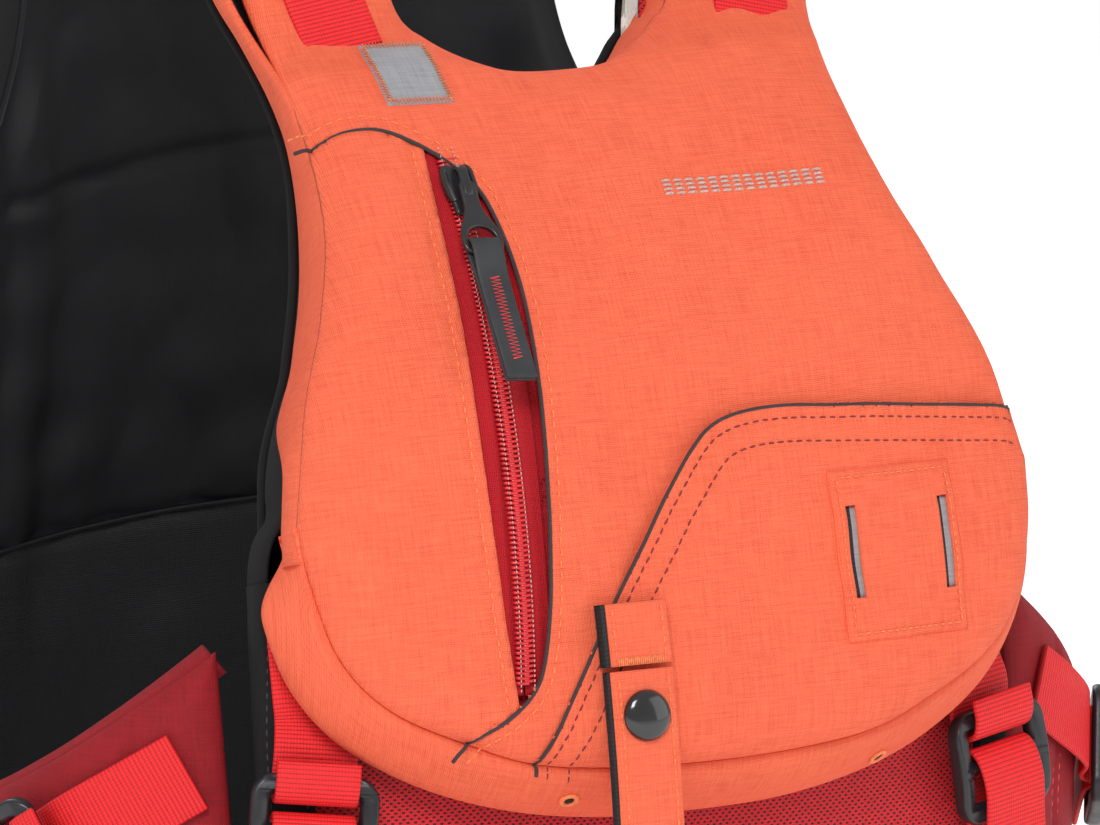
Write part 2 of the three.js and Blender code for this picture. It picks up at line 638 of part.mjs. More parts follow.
// ---------- sides ----------
const SIDE_FRONT = BASE_HALF + 2.5;
const SIDE_BACK = BACK - BACK_HALF - 2.5;
function sides() {
  const edge = (inset) => {
    const [front, back, low] = [SIDE_FRONT + inset, SIDE_BACK - inset, 1 + inset];
    const top = [
      [front, 198], [150, 180], [172, 165], [195, 153], [216, ARMHOLE_Z], [245, 152], [280, 178], [back,
        200],
    ].map(([s, z]) => [s, z - inset]);
    return {
      bottom: line([front, low], [back, low]),
      top: curve(top),
      left: line([front, low], top[0]),
      right: line([back, low], top.at(-1)),
    };
  };
  for (const [name, side] of [["left", 1], ["right", -1]]) {
    layer("side_liner_" + name, cloth(BLACK), edge(0), 0, LINER_THICK, 10, 4, side);
    layer("side_foam_" + name, cloth(FOAM), edge(EDGE_INSET), FOAM_IN, SIDE_FOAM_OUT, 10, 4, side);
    layer("side_shell_" + name, cloth(RED), edge(0), SIDE_SHELL_IN, SIDE_SHELL_OUT, 10, 4, side);
  }
}

// ---------- back ----------
const backNeck = [[-46, BACK_TOP_Z], [-36, 408], [0, 398], [36, 408], [46, BACK_TOP_Z]];
function back() {
  const edge = (inset, drop) => {
    const sideRight = [
      [BACK_HALF, HEM_HEIGHT + 1], [BACK_HALF, 120], [BACK_HALF - 1, 205], [138, 250], [117, 290], [99,
        330], [92, 360], [93, 395], [100, BACK_TOP_Z],
    ];
    const right = sideRight.map(([t, z], i) => [t - inset, i ? z - drop : z]);
    const top = [[-100, BACK_TOP_Z], ...backNeck, [100, BACK_TOP_Z]].map(([t,
      z]) => [t - Math.sign(t) * inset, z - drop]);
    const about = (points) => points.map(([t, z]) => [BACK + t, z]);
    return {
      bottom: line([BACK - BACK_HALF + inset, HEM_HEIGHT + 1], [BACK + BACK_HALF - inset, HEM_HEIGHT + 1]),
      top: curve(about(top)),
      left: curve(about(right.map(([t, z]) => [-t, z]))),
      right: curve(about(right)),
    };
  };
  layer("back_liner", cloth(BLACK), edge(0, 0), 0, LINER_THICK, 12, 10);
  layer("back_foam_core", cloth(FOAM), edge(EDGE_INSET, EDGE_INSET), FOAM_IN, backFoamOut, 12, 10);
  layer("back_outer_shell", cloth(RED), edge(0, 0), backShellIn, backShellOut, 12, 10);
  const hem = rectangle(BACK - BACK_HALF, BACK + BACK_HALF, 0, HEM_HEIGHT);
  layer("back_hem", cloth(BLACK), hem, 0, backShellOut, 12, 1);
  const loop = [[-26, 3], [-22, 3.2], [-14, 9], [0, 13], [14, 9], [22, 3.2], [26, 3]];
  const route = loop.map(([t, rise]) => [BACK + t, 372, backShellOut(372) + rise]);
  chartRibbon("haul_loop", cloth(BLACK), route, 20, WEBBING_THICK, 14);
}

// ---------- shoulders ----------
const yokeMiddle = (YOKE_HALF_WIDTH + NECK_HALF_WIDTH) / 2;
function shoulderPath(side, rise) {
  const front = place(yokeMiddle, YOKE_Z + 1, 11);
  const rear = place(BACK - 73, BACK_TOP_Z + 5, 11);
  const points = [
    front,
    place(yokeMiddle, YOKE_Z + 1, 11).add(new THREE.Vector3(2, 4, 18)),
    new THREE.Vector3(82, 4, 462),
    new THREE.Vector3(88, 22, SHOULDER_TOP_Z - 12),
    new THREE.Vector3(90, 50, SHOULDER_TOP_Z - SHOULDER_PAD_THICK / 2),
    new THREE.Vector3(88, 84, SHOULDER_TOP_Z - 12),
    new THREE.Vector3(80, 108, 468),
    rear.clone().add(new THREE.Vector3(2, 0, 16)),
    rear,
  ];
  const centre = new THREE.Vector3(80, 50, 400);
  const normals = points.map((p) => p.clone().sub(centre).setX(0).normalize());
  normals[0] = outward(yokeMiddle, YOKE_Z);
  normals[8] = outward(BACK - 73, BACK_TOP_Z);
  const raised = points.map((p, i) => p.clone().addScaledVector(normals[i], rise));
  for (const v of [...raised, ...normals]) v.x *= side;
  return { points: raised, normals };
}

function shoulders() {
  for (const [name, side] of [["left", 1], ["right", -1]]) {
    const pad = shoulderPath(side, 0);
    ribbon("shoulder_pad_" + name, cloth(BLACK), pad.points, pad.normals, SHOULDER_PAD_WIDTH,
      SHOULDER_PAD_THICK, 16);
    const over = shoulderPath(side, SHOULDER_PAD_THICK / 2 + WEBBING_THICK / 2 + 2.4);
    const lock = lockStation(over.points[7].clone(), over.normals[7], over.points[6].clone(), 5.6);
    const lead = over.points.slice(1, 7);
    strapInto("shoulder_webbing_" + name, lead, over.normals.slice(1, 7), lock, 30);
    ladderLock("shoulder_buckle_" + name, lock);
  }
}

// ---------- ladder-lock buckles and their straps ----------
function ladderLock(name, group) {
  const frame = roundedRect(LOCK_WIDTH, LOCK_LENGTH, 4);
  for (const side of [-1, 1]) {
    const slot = roundedRect(WEBBING_WIDTH + 2, LOCK_SLOT, 1.5, (side * (LOCK_SLOT + LOCK_MID_BAR)) / 2);
    frame.holes.push(new THREE.Path(slot.getPoints(2)));
  }
  const geometry = extrude(frame, LOCK_THICK);
  geometry.translate(0, 0, -LOCK_THICK / 2);
  return add(name, geometry, plastic(BLACK), group);
}

// A group at a point, its Z along out and its Y towards another point.
function lockStation(at, out, towards, rise) {
  const up = towards.sub(at);
  up.addScaledVector(out, -up.dot(out)).normalize();
  const round = new THREE.Vector3().crossVectors(up, out);
  const group = new THREE.Group();
  group.matrix.makeBasis(round, up, out).setPosition(at.addScaledVector(out, rise));
  group.matrix.decompose(group.position, group.quaternion, group.scale);
  jacket.add(group);
  return group;
}

const LOOP_RADIUS = 5.2;
const TOP_BAR_Y = LOCK_LENGTH / 2 - LOCK_END_BAR / 2;
// A strap that follows lead points, passes behind a buckle's top bar and comes up in front of it.
function strapInto(name, lead, leadNormals, group, steps) {
  group.updateMatrixWorld(true);
  const local = [
    [0, TOP_BAR_Y + 9, -LOOP_RADIUS + 1, 0, 0, 1],
    [0, TOP_BAR_Y, -LOOP_RADIUS, 0, 0, 1],
    [0, TOP_BAR_Y - LOOP_RADIUS, 0, 0, 1, 0],
    [0, TOP_BAR_Y, LOOP_RADIUS, 0, 0, -1],
    [0, TOP_BAR_Y + 7, LOOP_RADIUS - 0.2, 0, 0, -1],
  ];
  const points = local.map(([x, y, z]) => group.localToWorld(new THREE.Vector3(x, y, z)));
  const normals = local.map((v) => new THREE.Vector3(v[3], v[4], v[5]).applyQuaternion(group.quaternion));
  return ribbon(
    name, cloth(STRAP_RED), [...lead, ...points], [...leadNormals, ...normals], WEBBING_WIDTH,
      WEBBING_THICK, steps,
  );
}

// The adjusting strap: up behind the buckle, over its middle bar and down in front.
function strapTail(name, group, rear, front) {
  const path = [
    [0, -rear, -3.7], [0, -20, -3.6], [0, -5, -3.3], [0, 2.5, -2.4], [0, 4.9, 0.3], [0, 2.5, 3.6], [0,
      -6, 6], [0, -18, 4.4], [0, -front, 4],
  ].map((p) => new THREE.Vector3(...p));
  const away = [
    [0, 0, -1], [0, 0, -1], [0, 0, -1], [0, 0.5, -1], [0, 1, 0], [0, 0.5, 1], [0, 0, 1], [0, 0, 1], [0,
      0, 1],
  ].map((p) => new THREE.Vector3(...p));
  return ribbon(name, cloth(STRAP_RED), path, away, WEBBING_WIDTH, WEBBING_THICK, 26, group);
}

const stops = (from, to, count) => Array.from({ length: count }, (_,
  i) => from + ((to - from) * i) / (count - 1));
const anchorZ = (s) => 113 - (s - 214) * 0.45;
const LOCK_RISE = LOOP_RADIUS + WEBBING_THICK + 1;
function frontStraps() {
  for (const [name, side] of [["left", 1], ["right", -1]]) {
    const s = side * FRONT_LOCK_S;
    const d = frontShellOut(FRONT_LOCK_Z) + LOCK_RISE;
    const group = station(s, FRONT_LOCK_Z, d, side * 0.09);
    const route = [210, 196, 186, 179].map((z) => [s - side * 4, z, shieldIn(z) - STRAP_SPACE / 2]);
    const lead = route.map(([a, z, depth]) => place(a, z, depth));
    const normals = route.map(([a, z]) => outward(a, z));
    strapInto("front_strap_" + name, lead, normals, group, 20);
    ladderLock("front_buckle_" + name, group);
    strapTail("front_tail_" + name, group, 34, 62);
  }
}

function sideStraps() {
  for (const [name, side] of [["left", 1], ["right", -1]]) {
    const group = station(side * SIDE_LOCK_S, SIDE_LOCK_Z, SIDE_SHELL_OUT + LOCK_RISE,
      side * SIDE_STRAP_TILT);
    const route = [[BASE_HALF + 11, 166, SIDE_SHELL_OUT + 2.2], [145, 159, SIDE_SHELL_OUT + 3]];
    const lead = route.map(([a, z, depth]) => place(side * a, z, depth));
    const normals = route.map(([a, z]) => outward(side * a, z));
    strapInto("side_strap_" + name, lead, normals, group, 18);
    ladderLock("side_buckle_" + name, group);
    strapTail("side_tail_" + name, group, 30, 60);
    const anchor = stops(214, SIDE_BACK - 2, 10).map((a) => [side * a, anchorZ(a), SIDE_SHELL_OUT + 1.8]);
    chartRibbon("side_anchor_" + name, cloth(STRAP_RED), anchor, WEBBING_WIDTH, WEBBING_THICK, 10);
  }
}


// ---------- waist belt ----------
function beltDepth(s) {
  const step = smooth(BASE_HALF + 3, BASE_HALF + 32, Math.abs(s));
  return 2 + frontShellOut(BELT_Z) + step * (SIDE_SHELL_OUT - frontShellOut(BELT_Z));
}
const beltRoute = (from, to) => stops(from, to, 14).map((s) => [s, BELT_Z, beltDepth(s)]);
function belt() {
  const clasp = station(0, BELT_Z, frontShellOut(BELT_Z) + 1.2);
  const body = extrude(roundedRect(CLASP_LENGTH, CLASP_HEIGHT, 4), CLASP_THICK);
  const socket = new THREE.BoxGeometry(26, 24, 5.6).translate(-CLASP_LENGTH / 2 + 12, 0, CLASP_THICK / 2);
  body.translate(CLASP_LENGTH / 2, 0, 0);
  socket.translate(CLASP_LENGTH / 2, 0, 0);
  add("clasp_socket", cut(body, socket), plastic(BLACK), clasp);

  const tongue = new THREE.Shape();
  tongue.moveTo(-20, -16);
  for (const [x, y] of [[-0.6, -16], [-0.6, -11], [22, -11], [22, -6], [3, -6], [3, -2], [18, -2], [18,
    2], [3, 2], [3, 6], [22, 6], [22, 11], [-0.6, 11], [-0.6, 16], [-20, 16]]) {
    tongue.lineTo(x, y);
  }
  const slot = roundedRect(5, WEBBING_WIDTH + 1.5, 1);
  tongue.holes.push(new THREE.Path(slot.getPoints(2).map((p) => p.add(new THREE.Vector2(-14, 0)))));
  const plug = extrude(tongue, 4.6);
  plug.translate(0, 0, (CLASP_THICK - 4.6) / 2);
  add("clasp_plug", plug, plastic(BLACK), clasp);

  chartRibbon("belt_left", cloth(STRAP_RED), beltRoute(seen([CLASP_LENGTH + 0.8, BELT_Z], beltDepth)[0],
    185), WEBBING_WIDTH, WEBBING_THICK, 14);
  chartRibbon("belt_right", cloth(STRAP_RED), beltRoute(-24, -185), WEBBING_WIDTH, WEBBING_THICK, 14);
  const over = stops(-23, -100, 8).map((s) => [s, BELT_Z, frontShellOut(BELT_Z) + 4.8]);
  chartRibbon("belt_tail", cloth(STRAP_RED), over, WEBBING_WIDTH, WEBBING_THICK, 8);
}

frontPanel();
shield();
zip();
chestPocket();
lowerPocket();
reflectivePatch();
snapTab();
sides();
back();
shoulders();
frontStraps();
sideStraps();
belt();

// The origin is under the middle of the whole jacket, on the surface that it stands on.
const bounds = new THREE.Box3().setFromObject(jacket);
const middle = bounds.getCenter(new THREE.Vector3());
jacket.position.set(-middle.x, -middle.y, -bounds.min.z);

export default jacket;
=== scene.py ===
"""A side-adjusted life jacket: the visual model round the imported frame.

Lengths are in millimetres until make().
"""

import math

import bmesh
import bpy
import numpy as np
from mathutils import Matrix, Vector


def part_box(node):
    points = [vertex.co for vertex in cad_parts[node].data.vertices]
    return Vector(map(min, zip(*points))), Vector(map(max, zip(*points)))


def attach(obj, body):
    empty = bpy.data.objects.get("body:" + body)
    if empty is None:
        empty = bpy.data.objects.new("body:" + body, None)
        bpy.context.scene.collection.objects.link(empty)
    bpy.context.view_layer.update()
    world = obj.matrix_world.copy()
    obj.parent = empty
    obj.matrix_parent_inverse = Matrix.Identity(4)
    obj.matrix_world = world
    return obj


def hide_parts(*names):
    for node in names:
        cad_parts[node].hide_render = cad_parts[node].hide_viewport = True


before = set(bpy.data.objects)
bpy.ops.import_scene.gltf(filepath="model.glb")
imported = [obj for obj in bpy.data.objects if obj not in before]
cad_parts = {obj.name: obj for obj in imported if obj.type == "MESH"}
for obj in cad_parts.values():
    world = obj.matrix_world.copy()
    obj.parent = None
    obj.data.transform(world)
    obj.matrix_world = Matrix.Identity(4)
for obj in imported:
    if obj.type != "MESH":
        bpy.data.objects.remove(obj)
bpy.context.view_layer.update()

# ---------- the chest chart of the CAD part: s round the chest, z height, d depth outwards ----------
HALF_WIDTH, HALF_DEPTH, SQUARENESS = 168.0, 118.0, 3
TURN = np.linspace(0, 2 * np.pi, 7201)
REACH = (np.abs(np.sin(TURN) / HALF_WIDTH) ** SQUARENESS
    + np.abs(np.cos(TURN) / HALF_DEPTH) ** SQUARENESS) ** (-1 / SQUARENESS)
RING = np.stack([REACH * np.sin(TURN), -REACH * np.cos(TURN)], 1)
RUN = np.concatenate([[0], np.cumsum(np.linalg.norm(np.diff(RING, axis=0), axis=1))])
GIRTH = RUN[-1]
BACK = GIRTH / 2
LEAN_LOW, LEAN_HIGH, LEAN_RADIUS, LEAN_EASE = 100, 340, 406, 30
LEAN_SLOPE = (LEAN_HIGH - LEAN_LOW) / math.sqrt(LEAN_RADIUS**2 - (LEAN_HIGH - LEAN_LOW) ** 2)


def smooth(low, high, z):
    t = np.clip((np.asarray(z, float) - low) / (high - low), 0, 1)
    return t * t * (3 - 2 * t)


def lean(z):
    z = np.asarray(z, float)
    arc = LEAN_RADIUS - np.sqrt(LEAN_RADIUS**2 - (np.clip(z, LEAN_LOW, LEAN_HIGH) - LEAN_LOW) ** 2)
    return arc + LEAN_EASE * (1 - np.exp(-np.maximum(z - LEAN_HIGH, 0) * LEAN_SLOPE / LEAN_EASE))


def width_at(z):
    return 0.94 + 0.06 * smooth(20, 220, z) - 0.08 * smooth(300, 520, z)


def front_at(z):
    return 0.95 + 0.05 * smooth(20, 150, z) - lean(z) / HALF_DEPTH


def back_at(z):
    return 0.92 + 0.08 * smooth(20, 250, z) - 0.12 * smooth(380, 500, z)


def skin(s, z):
    s, z = np.broadcast_arrays(np.asarray(s, float), np.asarray(z, float))
    at = np.mod(s, GIRTH)
    x, y = np.interp(at, RUN, RING[:, 0]), np.interp(at, RUN, RING[:, 1])
    return np.stack([x * width_at(z), y * np.where(y < 0, front_at(z), back_at(z)), z], -1)


def unit(v):
    return v / np.maximum(np.linalg.norm(v, axis=-1, keepdims=True), 1e-12)


def outward(s, z, step=1.0):
    s, z = np.asarray(s, float), np.asarray(z, float)
    return unit(np.cross(skin(s + step, z) - skin(s - step, z), skin(s, z + step) - skin(s, z - step)))


def place(s, z, d=0):
    return skin(s, z) + outward(s, z) * np.asarray(d, float)[..., None]


FOAM_IN = 4.2
GAP, CLOTH, STRAP_SPACE = 1.8, 1.6, 3.6


def front_foam_out(z):
    return FOAM_IN + 20 - 12 * smooth(280, 400, z)


def front_shell_out(z):
    return front_foam_out(z) + GAP + CLOTH


def shield_in(z):
    return front_shell_out(z) + STRAP_SPACE


def shield_foam_out(z):
    return shield_in(z) + 26 - 20 * smooth(240, 400, z)


def face_out(z):
    return shield_foam_out(z) + GAP + CLOTH


def over_out(z):
    return face_out(z) + GAP + CLOTH


def back_foam_out(z):
    return FOAM_IN + 26 - 14 * smooth(300, 410, z)


def back_shell_out(z):
    return back_foam_out(z) + GAP + CLOTH


SIDE_FOAM_OUT = FOAM_IN + 15
SIDE_OUT = SIDE_FOAM_OUT + GAP + CLOTH


def seen(x, z, depth=face_out):
    """The chart coordinates of what the front view shows at x, z on a surface at some depth."""
    x, z = np.asarray(x, float), np.asarray(z, float)
    s, h = x.copy(), z.copy()
    for _ in range(11):
        p = place(s, h, depth(h))
        s, h = s + 0.6 * (x - p[..., 0]), h + 0.6 * (z - p[..., 2])
    return s, h


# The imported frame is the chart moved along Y; the hem says by how much.
hem_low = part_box("front_hem")[0]
SHIFT_Y = hem_low.y * 1000 - min(place(0.0, z, front_shell_out(z))[1] for z in (0.0, 5.0))


# ---------- curves ----------
def spline(points, t):
    """The same curve as the part's outlines: a Catmull-Rom spline, each span an equal share of t."""
    p = np.asarray(points, float)
    last = len(p) - 1
    q = np.clip(np.asarray(t, float), 0, 1) * last
    i = np.minimum(q.astype(int), last - 1)
    w = (q - i)[..., None]
    p0, p1, p2, p3 = p[np.maximum(i - 1, 0)], p[i], p[i + 1], p[np.minimum(i + 2, last)]
    v0, v1 = (p2 - p0) / 2, (p3 - p1) / 2
    return (2 * p1 - 2 * p2 + v0 + v1) * w**3 + (-3 * p1 + 3 * p2 - 2 * v0 - v1) * w**2 + v0 * w + p1


def lengths(p):
    return np.concatenate([[0], np.cumsum(np.linalg.norm(np.diff(p, axis=0), axis=1))])


def resampled(p, count):
    run = lengths(p)
    at = np.linspace(0, run[-1], count)
    return np.stack([np.interp(at, run, p[:, k]) for k in range(p.shape[1])], 1)


def track(points, curved=True):
    """An edge at even speed: a function of 0..1."""
    p = np.asarray(points, float)
    if curved and len(p) > 2:
        p = spline(p, np.linspace(0, 1, 60 * len(p)))
    run = lengths(p)
    return lambda u: np.stack([np.interp(np.asarray(u) * run[-1], run,
        p[:, k]) for k in range(p.shape[1])], -1)


def coons(bottom, top, left, right, u, v):
    U, V = u[None, :, None], v[:, None, None]
    b, t, l, r = bottom(u)[None], top(u)[None], left(v)[:, None], right(v)[:, None]
    c = lambda edge, k: edge(np.array([float(k)]))[0]
    corners = (1 - U) * (1 - V) * c(bottom, 0) + U * (1 - V) * c(bottom, 1) + (1 - U) * V * c(top,
        0) + U * V * c(top, 1)
    return (1 - V) * b + V * t + (1 - U) * l + U * r - corners


def path3(points, step=1.6, extra=None):
    """A centripetal curve through 3-D points at near-even steps, with the vectors at the points."""
    p = np.asarray(points, float)
    e = np.zeros_like(p) if extra is None else np.asarray(extra, float)
    full = np.concatenate([[2 * p[0] - p[1]], p, [2 * p[-1] - p[-2]]])
    out, more = [], []
    for i in range(len(p) - 1):
        a, b, c, d = full[i : i + 4]
        d0, d1, d2 = (max(np.linalg.norm(y - x) ** 0.5, 1e-4) for x, y in ((a, b), (b, c), (c, d)))
        m1 = ((b - a) / d0 - (c - a) / (d0 + d1) + (c - b) / d1) * d1
        m2 = ((c - b) / d1 - (d - b) / (d1 + d2) + (d - c) / d2) * d1
        w = np.linspace(0, 1, 24, endpoint=i == len(p) - 2)[:, None]
        out.append((2 * b - 2 * c + m1 + m2) * w**3 + (-3 * b + 3 * c - 2 * m1 - m2) * w**2 + m1 * w + b)
        more.append(e[i] * (1 - w) + e[i + 1] * w)
    both = np.concatenate([np.concatenate(out), np.concatenate(more)], 1)
    run = lengths(both[:, :3])
    at = np.linspace(0, run[-1], max(3, int(run[-1] / step) + 1))
    both = np.stack([np.interp(at, run, both[:, k]) for k in range(6)], 1)
    return both[:, :3], both[:, 3:]


def ripple(x, z, size, seed, terms=7):
    """Smooth waves of about that size, from -1 to 1, the same each run."""
    r = np.random.default_rng(seed)
    total = 0
    for _ in range(terms):
        a, k, f = r.uniform(0, np.pi), 2 * np.pi / (size * r.uniform(0.7, 1.6)), r.uniform(0, 2 * np.pi)
        total = total + np.sin(k * (np.cos(a) * x + np.sin(a) * z) + f)
    return total / (terms * 0.7)


def near(x, z, line):
    """The distance from each x, z to a line of 2-D points, and how far along it the nearest place is."""
    q = np.stack([np.ravel(x), np.ravel(z)], 1)
    best, along = np.full(len(q), np.inf), np.zeros(len(q))
    run = lengths(line)
    for i in range(len(line) - 1):
        a, d = line[i], line[i + 1] - line[i]
        t = np.clip(((q - a) @ d) / max(d @ d, 1e-12), 0, 1)
        dist = np.linalg.norm(q - a - t[:, None] * d, axis=1)
        closer = dist < best
        best, along = np.where(closer, dist, best), np.where(closer, run[i] + t * (run[i + 1] - run[i]),
            along)
    return best.reshape(np.shape(x)), along.reshape(np.shape(x))


def roll(d, radius):
    return np.sqrt(np.maximum(0, 1 - (1 - np.clip(d / radius, 0, 1)) ** 2))


# ---------- meshes: a part is (points, faces, uv, material index) ----------
def grid_quads(rows, columns):
    i = np.arange(rows * columns).reshape(rows, columns)
    return np.stack([i[:-1, :-1], i[:-1, 1:], i[1:, 1:], i[1:, :-1]], -1).reshape(-1, 4)


def solid_sheet(outer, inner, uv, quads=None, material=0, under=None):
    """The closed body between two grids; quads picks the cells that it covers."""
    rows, columns = outer.shape[:2]
    quads = grid_quads(rows, columns) if quads is None else quads
    used, quads = np.unique(quads, return_inverse=True)
    quads = quads.reshape(-1, 4)
    n = len(used)
    edges = np.concatenate([quads[:, [k, (k + 1) % 4]] for k in range(4)])
    key = np.sort(edges, 1)
    _, where, count = np.unique(key, axis=0, return_inverse=True, return_counts=True)
    b = edges[count[np.ravel(where)] == 1]
    walls = np.stack([b[:, 1], b[:, 0], b[:, 0] + n, b[:, 1] + n], 1)
    points = np.concatenate([outer.reshape(-1, 3)[used], inner.reshape(-1, 3)[used]])
    flat = uv.reshape(-1, 2)[used]
    faces = quads.tolist() + (quads + n)[:, ::-1].tolist() + walls.tolist()
    low = material if under is None else under
    kinds = [material] * len(quads) + [low] * len(quads) + [material] * len(walls)
    return points, faces, np.concatenate([flat, flat]), kinds


def sweep(centre, side, out, section, material=0, closed=False, v0=0.0):
    """A closed section of (across, out) points swept along a path: one list, or one for each step."""
    n = len(centre)
    section = np.asarray(section, float)
    if section.ndim == 2:
        section = np.broadcast_to(section, (n,) + section.shape)
    k = section.shape[1]
    points = centre[:, None] + side[:, None] * section[..., :1] + out[:, None] * section[..., 1:2]
    uv = np.stack(np.broadcast_arrays(section[..., 0], (v0 + lengths(centre))[:, None]), -1)
    i = np.arange(n * k).reshape(n, k)
    nxt = np.roll(i, -1, 1)
    rings = n if closed else n - 1
    faces = []
    for r in range(rings):
        t = (r + 1) % n
        faces += np.stack([i[r], nxt[r], nxt[t], i[t]], 1).tolist()
    if not closed:
        faces += [i[0][::-1].tolist(), i[-1].tolist()]
    return points.reshape(-1, 3), faces, uv.reshape(-1, 2), [material] * len(faces)


def frames(centre, out):
    """Unit side and out vectors square to a path."""
    along = unit(np.gradient(centre, axis=0))
    out = unit(out - along * (out * along).sum(1, keepdims=True))
    return np.cross(out, along), out


def oval(width, thick, count=8):
    """A rounded flat section, its long sides cut into several points."""
    half, r = width / 2, thick / 2
    a = np.linspace(-np.pi / 2, np.pi / 2, 5)
    right = [(half - r + r * np.cos(t), r * np.sin(t)) for t in a]
    top = [(x, r) for x in np.linspace(half - r, r - half, count + 1)[1:-1]]
    left = [(-x, -y) for x, y in right]
    return right + top + left + [(-x, -y) for x, y in top]


def circle(radius, count=8, flat=1.0):
    a = np.linspace(0, 2 * np.pi, count, endpoint=False)
    return np.stack([radius * np.cos(a), flat * radius * np.sin(a)], 1)


def tube(centre, out, radius, material=0, count=8, flat=1.0, closed=False):
    side, up = frames(centre, out)
    return sweep(centre, side, up, circle(radius, count, flat), material, closed)


def beads(centre, out, length=2.6, gap=0.9, radius=0.32, material=0, phase=0.0, lift=0.1):
    """Sewn stitches along a path: small rounded dashes that sink in at both ends."""
    run = lengths(centre)
    side, up = frames(centre, out)
    starts = np.arange(phase + gap / 2, run[-1] - length, length + gap)
    t = np.linspace(0, 1, 6)
    at = starts[:, None] + t[None] * length
    pick = lambda a: np.stack([np.interp(at, run, a[:, k]) for k in range(3)], -1)
    c, s, u = pick(centre), pick(side), pick(up)
    thick = radius * np.sqrt(np.maximum(0.06, 1 - (2 * t - 1) ** 4))
    rise = lift * np.sin(np.pi * t) - radius * 0.7 * (1 - np.sin(np.pi * t) ** 0.5)
    ring = circle(1.0, 6)
    p = (c + u * rise[None, :, None])[:, :, None] + (
        s[:, :, None] * ring[None, None, :, :1] + u[:, :, None] * ring[None, None, :, 1:2]
    ) * thick[None, :, None, None]
    k, rings = 6, 6
    i = np.arange(rings * k).reshape(rings, k)
    nxt = np.roll(i, -1, 1)
    one = [f for r in range(rings - 1) for f in np.stack([i[r], nxt[r], nxt[r + 1], i[r + 1]], 1).tolist()]
    one += [i[0][::-1].tolist(), i[-1].tolist()]
    faces = [[v + d * rings * k for v in f] for d in range(len(starts)) for f in one]
    points = p.reshape(-1, 3)
    return points, faces, points[:, [0, 2]], [material] * len(faces)


def joined(*parts):
    points, faces, uv, kinds, base = [], [], [], [], 0
    for p, f, t, m in parts:
        points.append(p)
        faces += [[v + base for v in face] for face in f]
        uv.append(t)
        kinds += m
        base += len(p)
    return np.concatenate(points), faces, np.concatenate(uv), kinds


def lathe(profile, count=48, material=0):
    """A turned body about Z from (radius, height) points, the first and last on the axis."""
    a = np.linspace(0, 2 * np.pi, count, endpoint=False)
    rings = profile[1:-1]
    points = [(0, 0, profile[0][1])] + [(r * math.cos(t), r * math.sin(t), h) for r,
        h in rings for t in a] + [(0, 0, profile[-1][1])]
    at = lambda ring, k: 1 + ring * count + k % count
    faces = [[0, at(0, k + 1), at(0, k)] for k in range(count)]
    for r in range(len(rings) - 1):
        faces += [[at(r, k), at(r, k + 1), at(r + 1, k + 1), at(r + 1, k)] for k in range(count)]
    faces += [[len(points) - 1, at(len(rings) - 1, k), at(len(rings) - 1, k + 1)] for k in range(count)]
    points = np.array(points)
    return points, faces, points[:, :2], [material] * len(faces)


def moved(part, matrix):
    p, f, t, m = part
    return p @ matrix[:3, :3].T + matrix[:3, 3], f, t, m


def turned_out(points, faces):
    """The faces, all turned round if the body is inside out."""
    tri = np.array([(f[0], f[k], f[k + 1]) for f in faces for k in range(1, len(f) - 1)])
    a, b, c = (points[tri[:, k]] for k in range(3))
    return faces if (a * np.cross(b, c)).sum() > 0 else [f[::-1] for f in faces]


def make(name, part, materials, body="jacket", nodes=(), slot=None, facets=None):
    points, faces, uv, kinds = part
    faces = turned_out(points, faces)
    mesh = bpy.data.meshes.new(name)
    mesh.from_pydata(((points + [0, SHIFT_Y, 0]) / 1000).tolist(), [], faces)
    layer = mesh.uv_layers.new(name="Cloth")
    index = np.zeros(len(mesh.loops), np.int32)
    mesh.loops.foreach_get("vertex_index", index)
    layer.data.foreach_set("uv", (uv[index] / 1000).astype(np.float32).ravel())
    for m in materials:
        mesh.materials.append(m)
    mesh.polygons.foreach_set("material_index", kinds)
    mesh.polygons.foreach_set("use_smooth", [True] * len(faces))
    if facets:
        mesh.set_sharp_from_angle(angle=math.radians(facets))
    mesh.update()
    piece = bpy.data.objects.new(name, mesh)
    bpy.context.scene.collection.objects.link(piece)
    if body:
        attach(piece, body)
    if nodes:
        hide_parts(*nodes)
    return piece


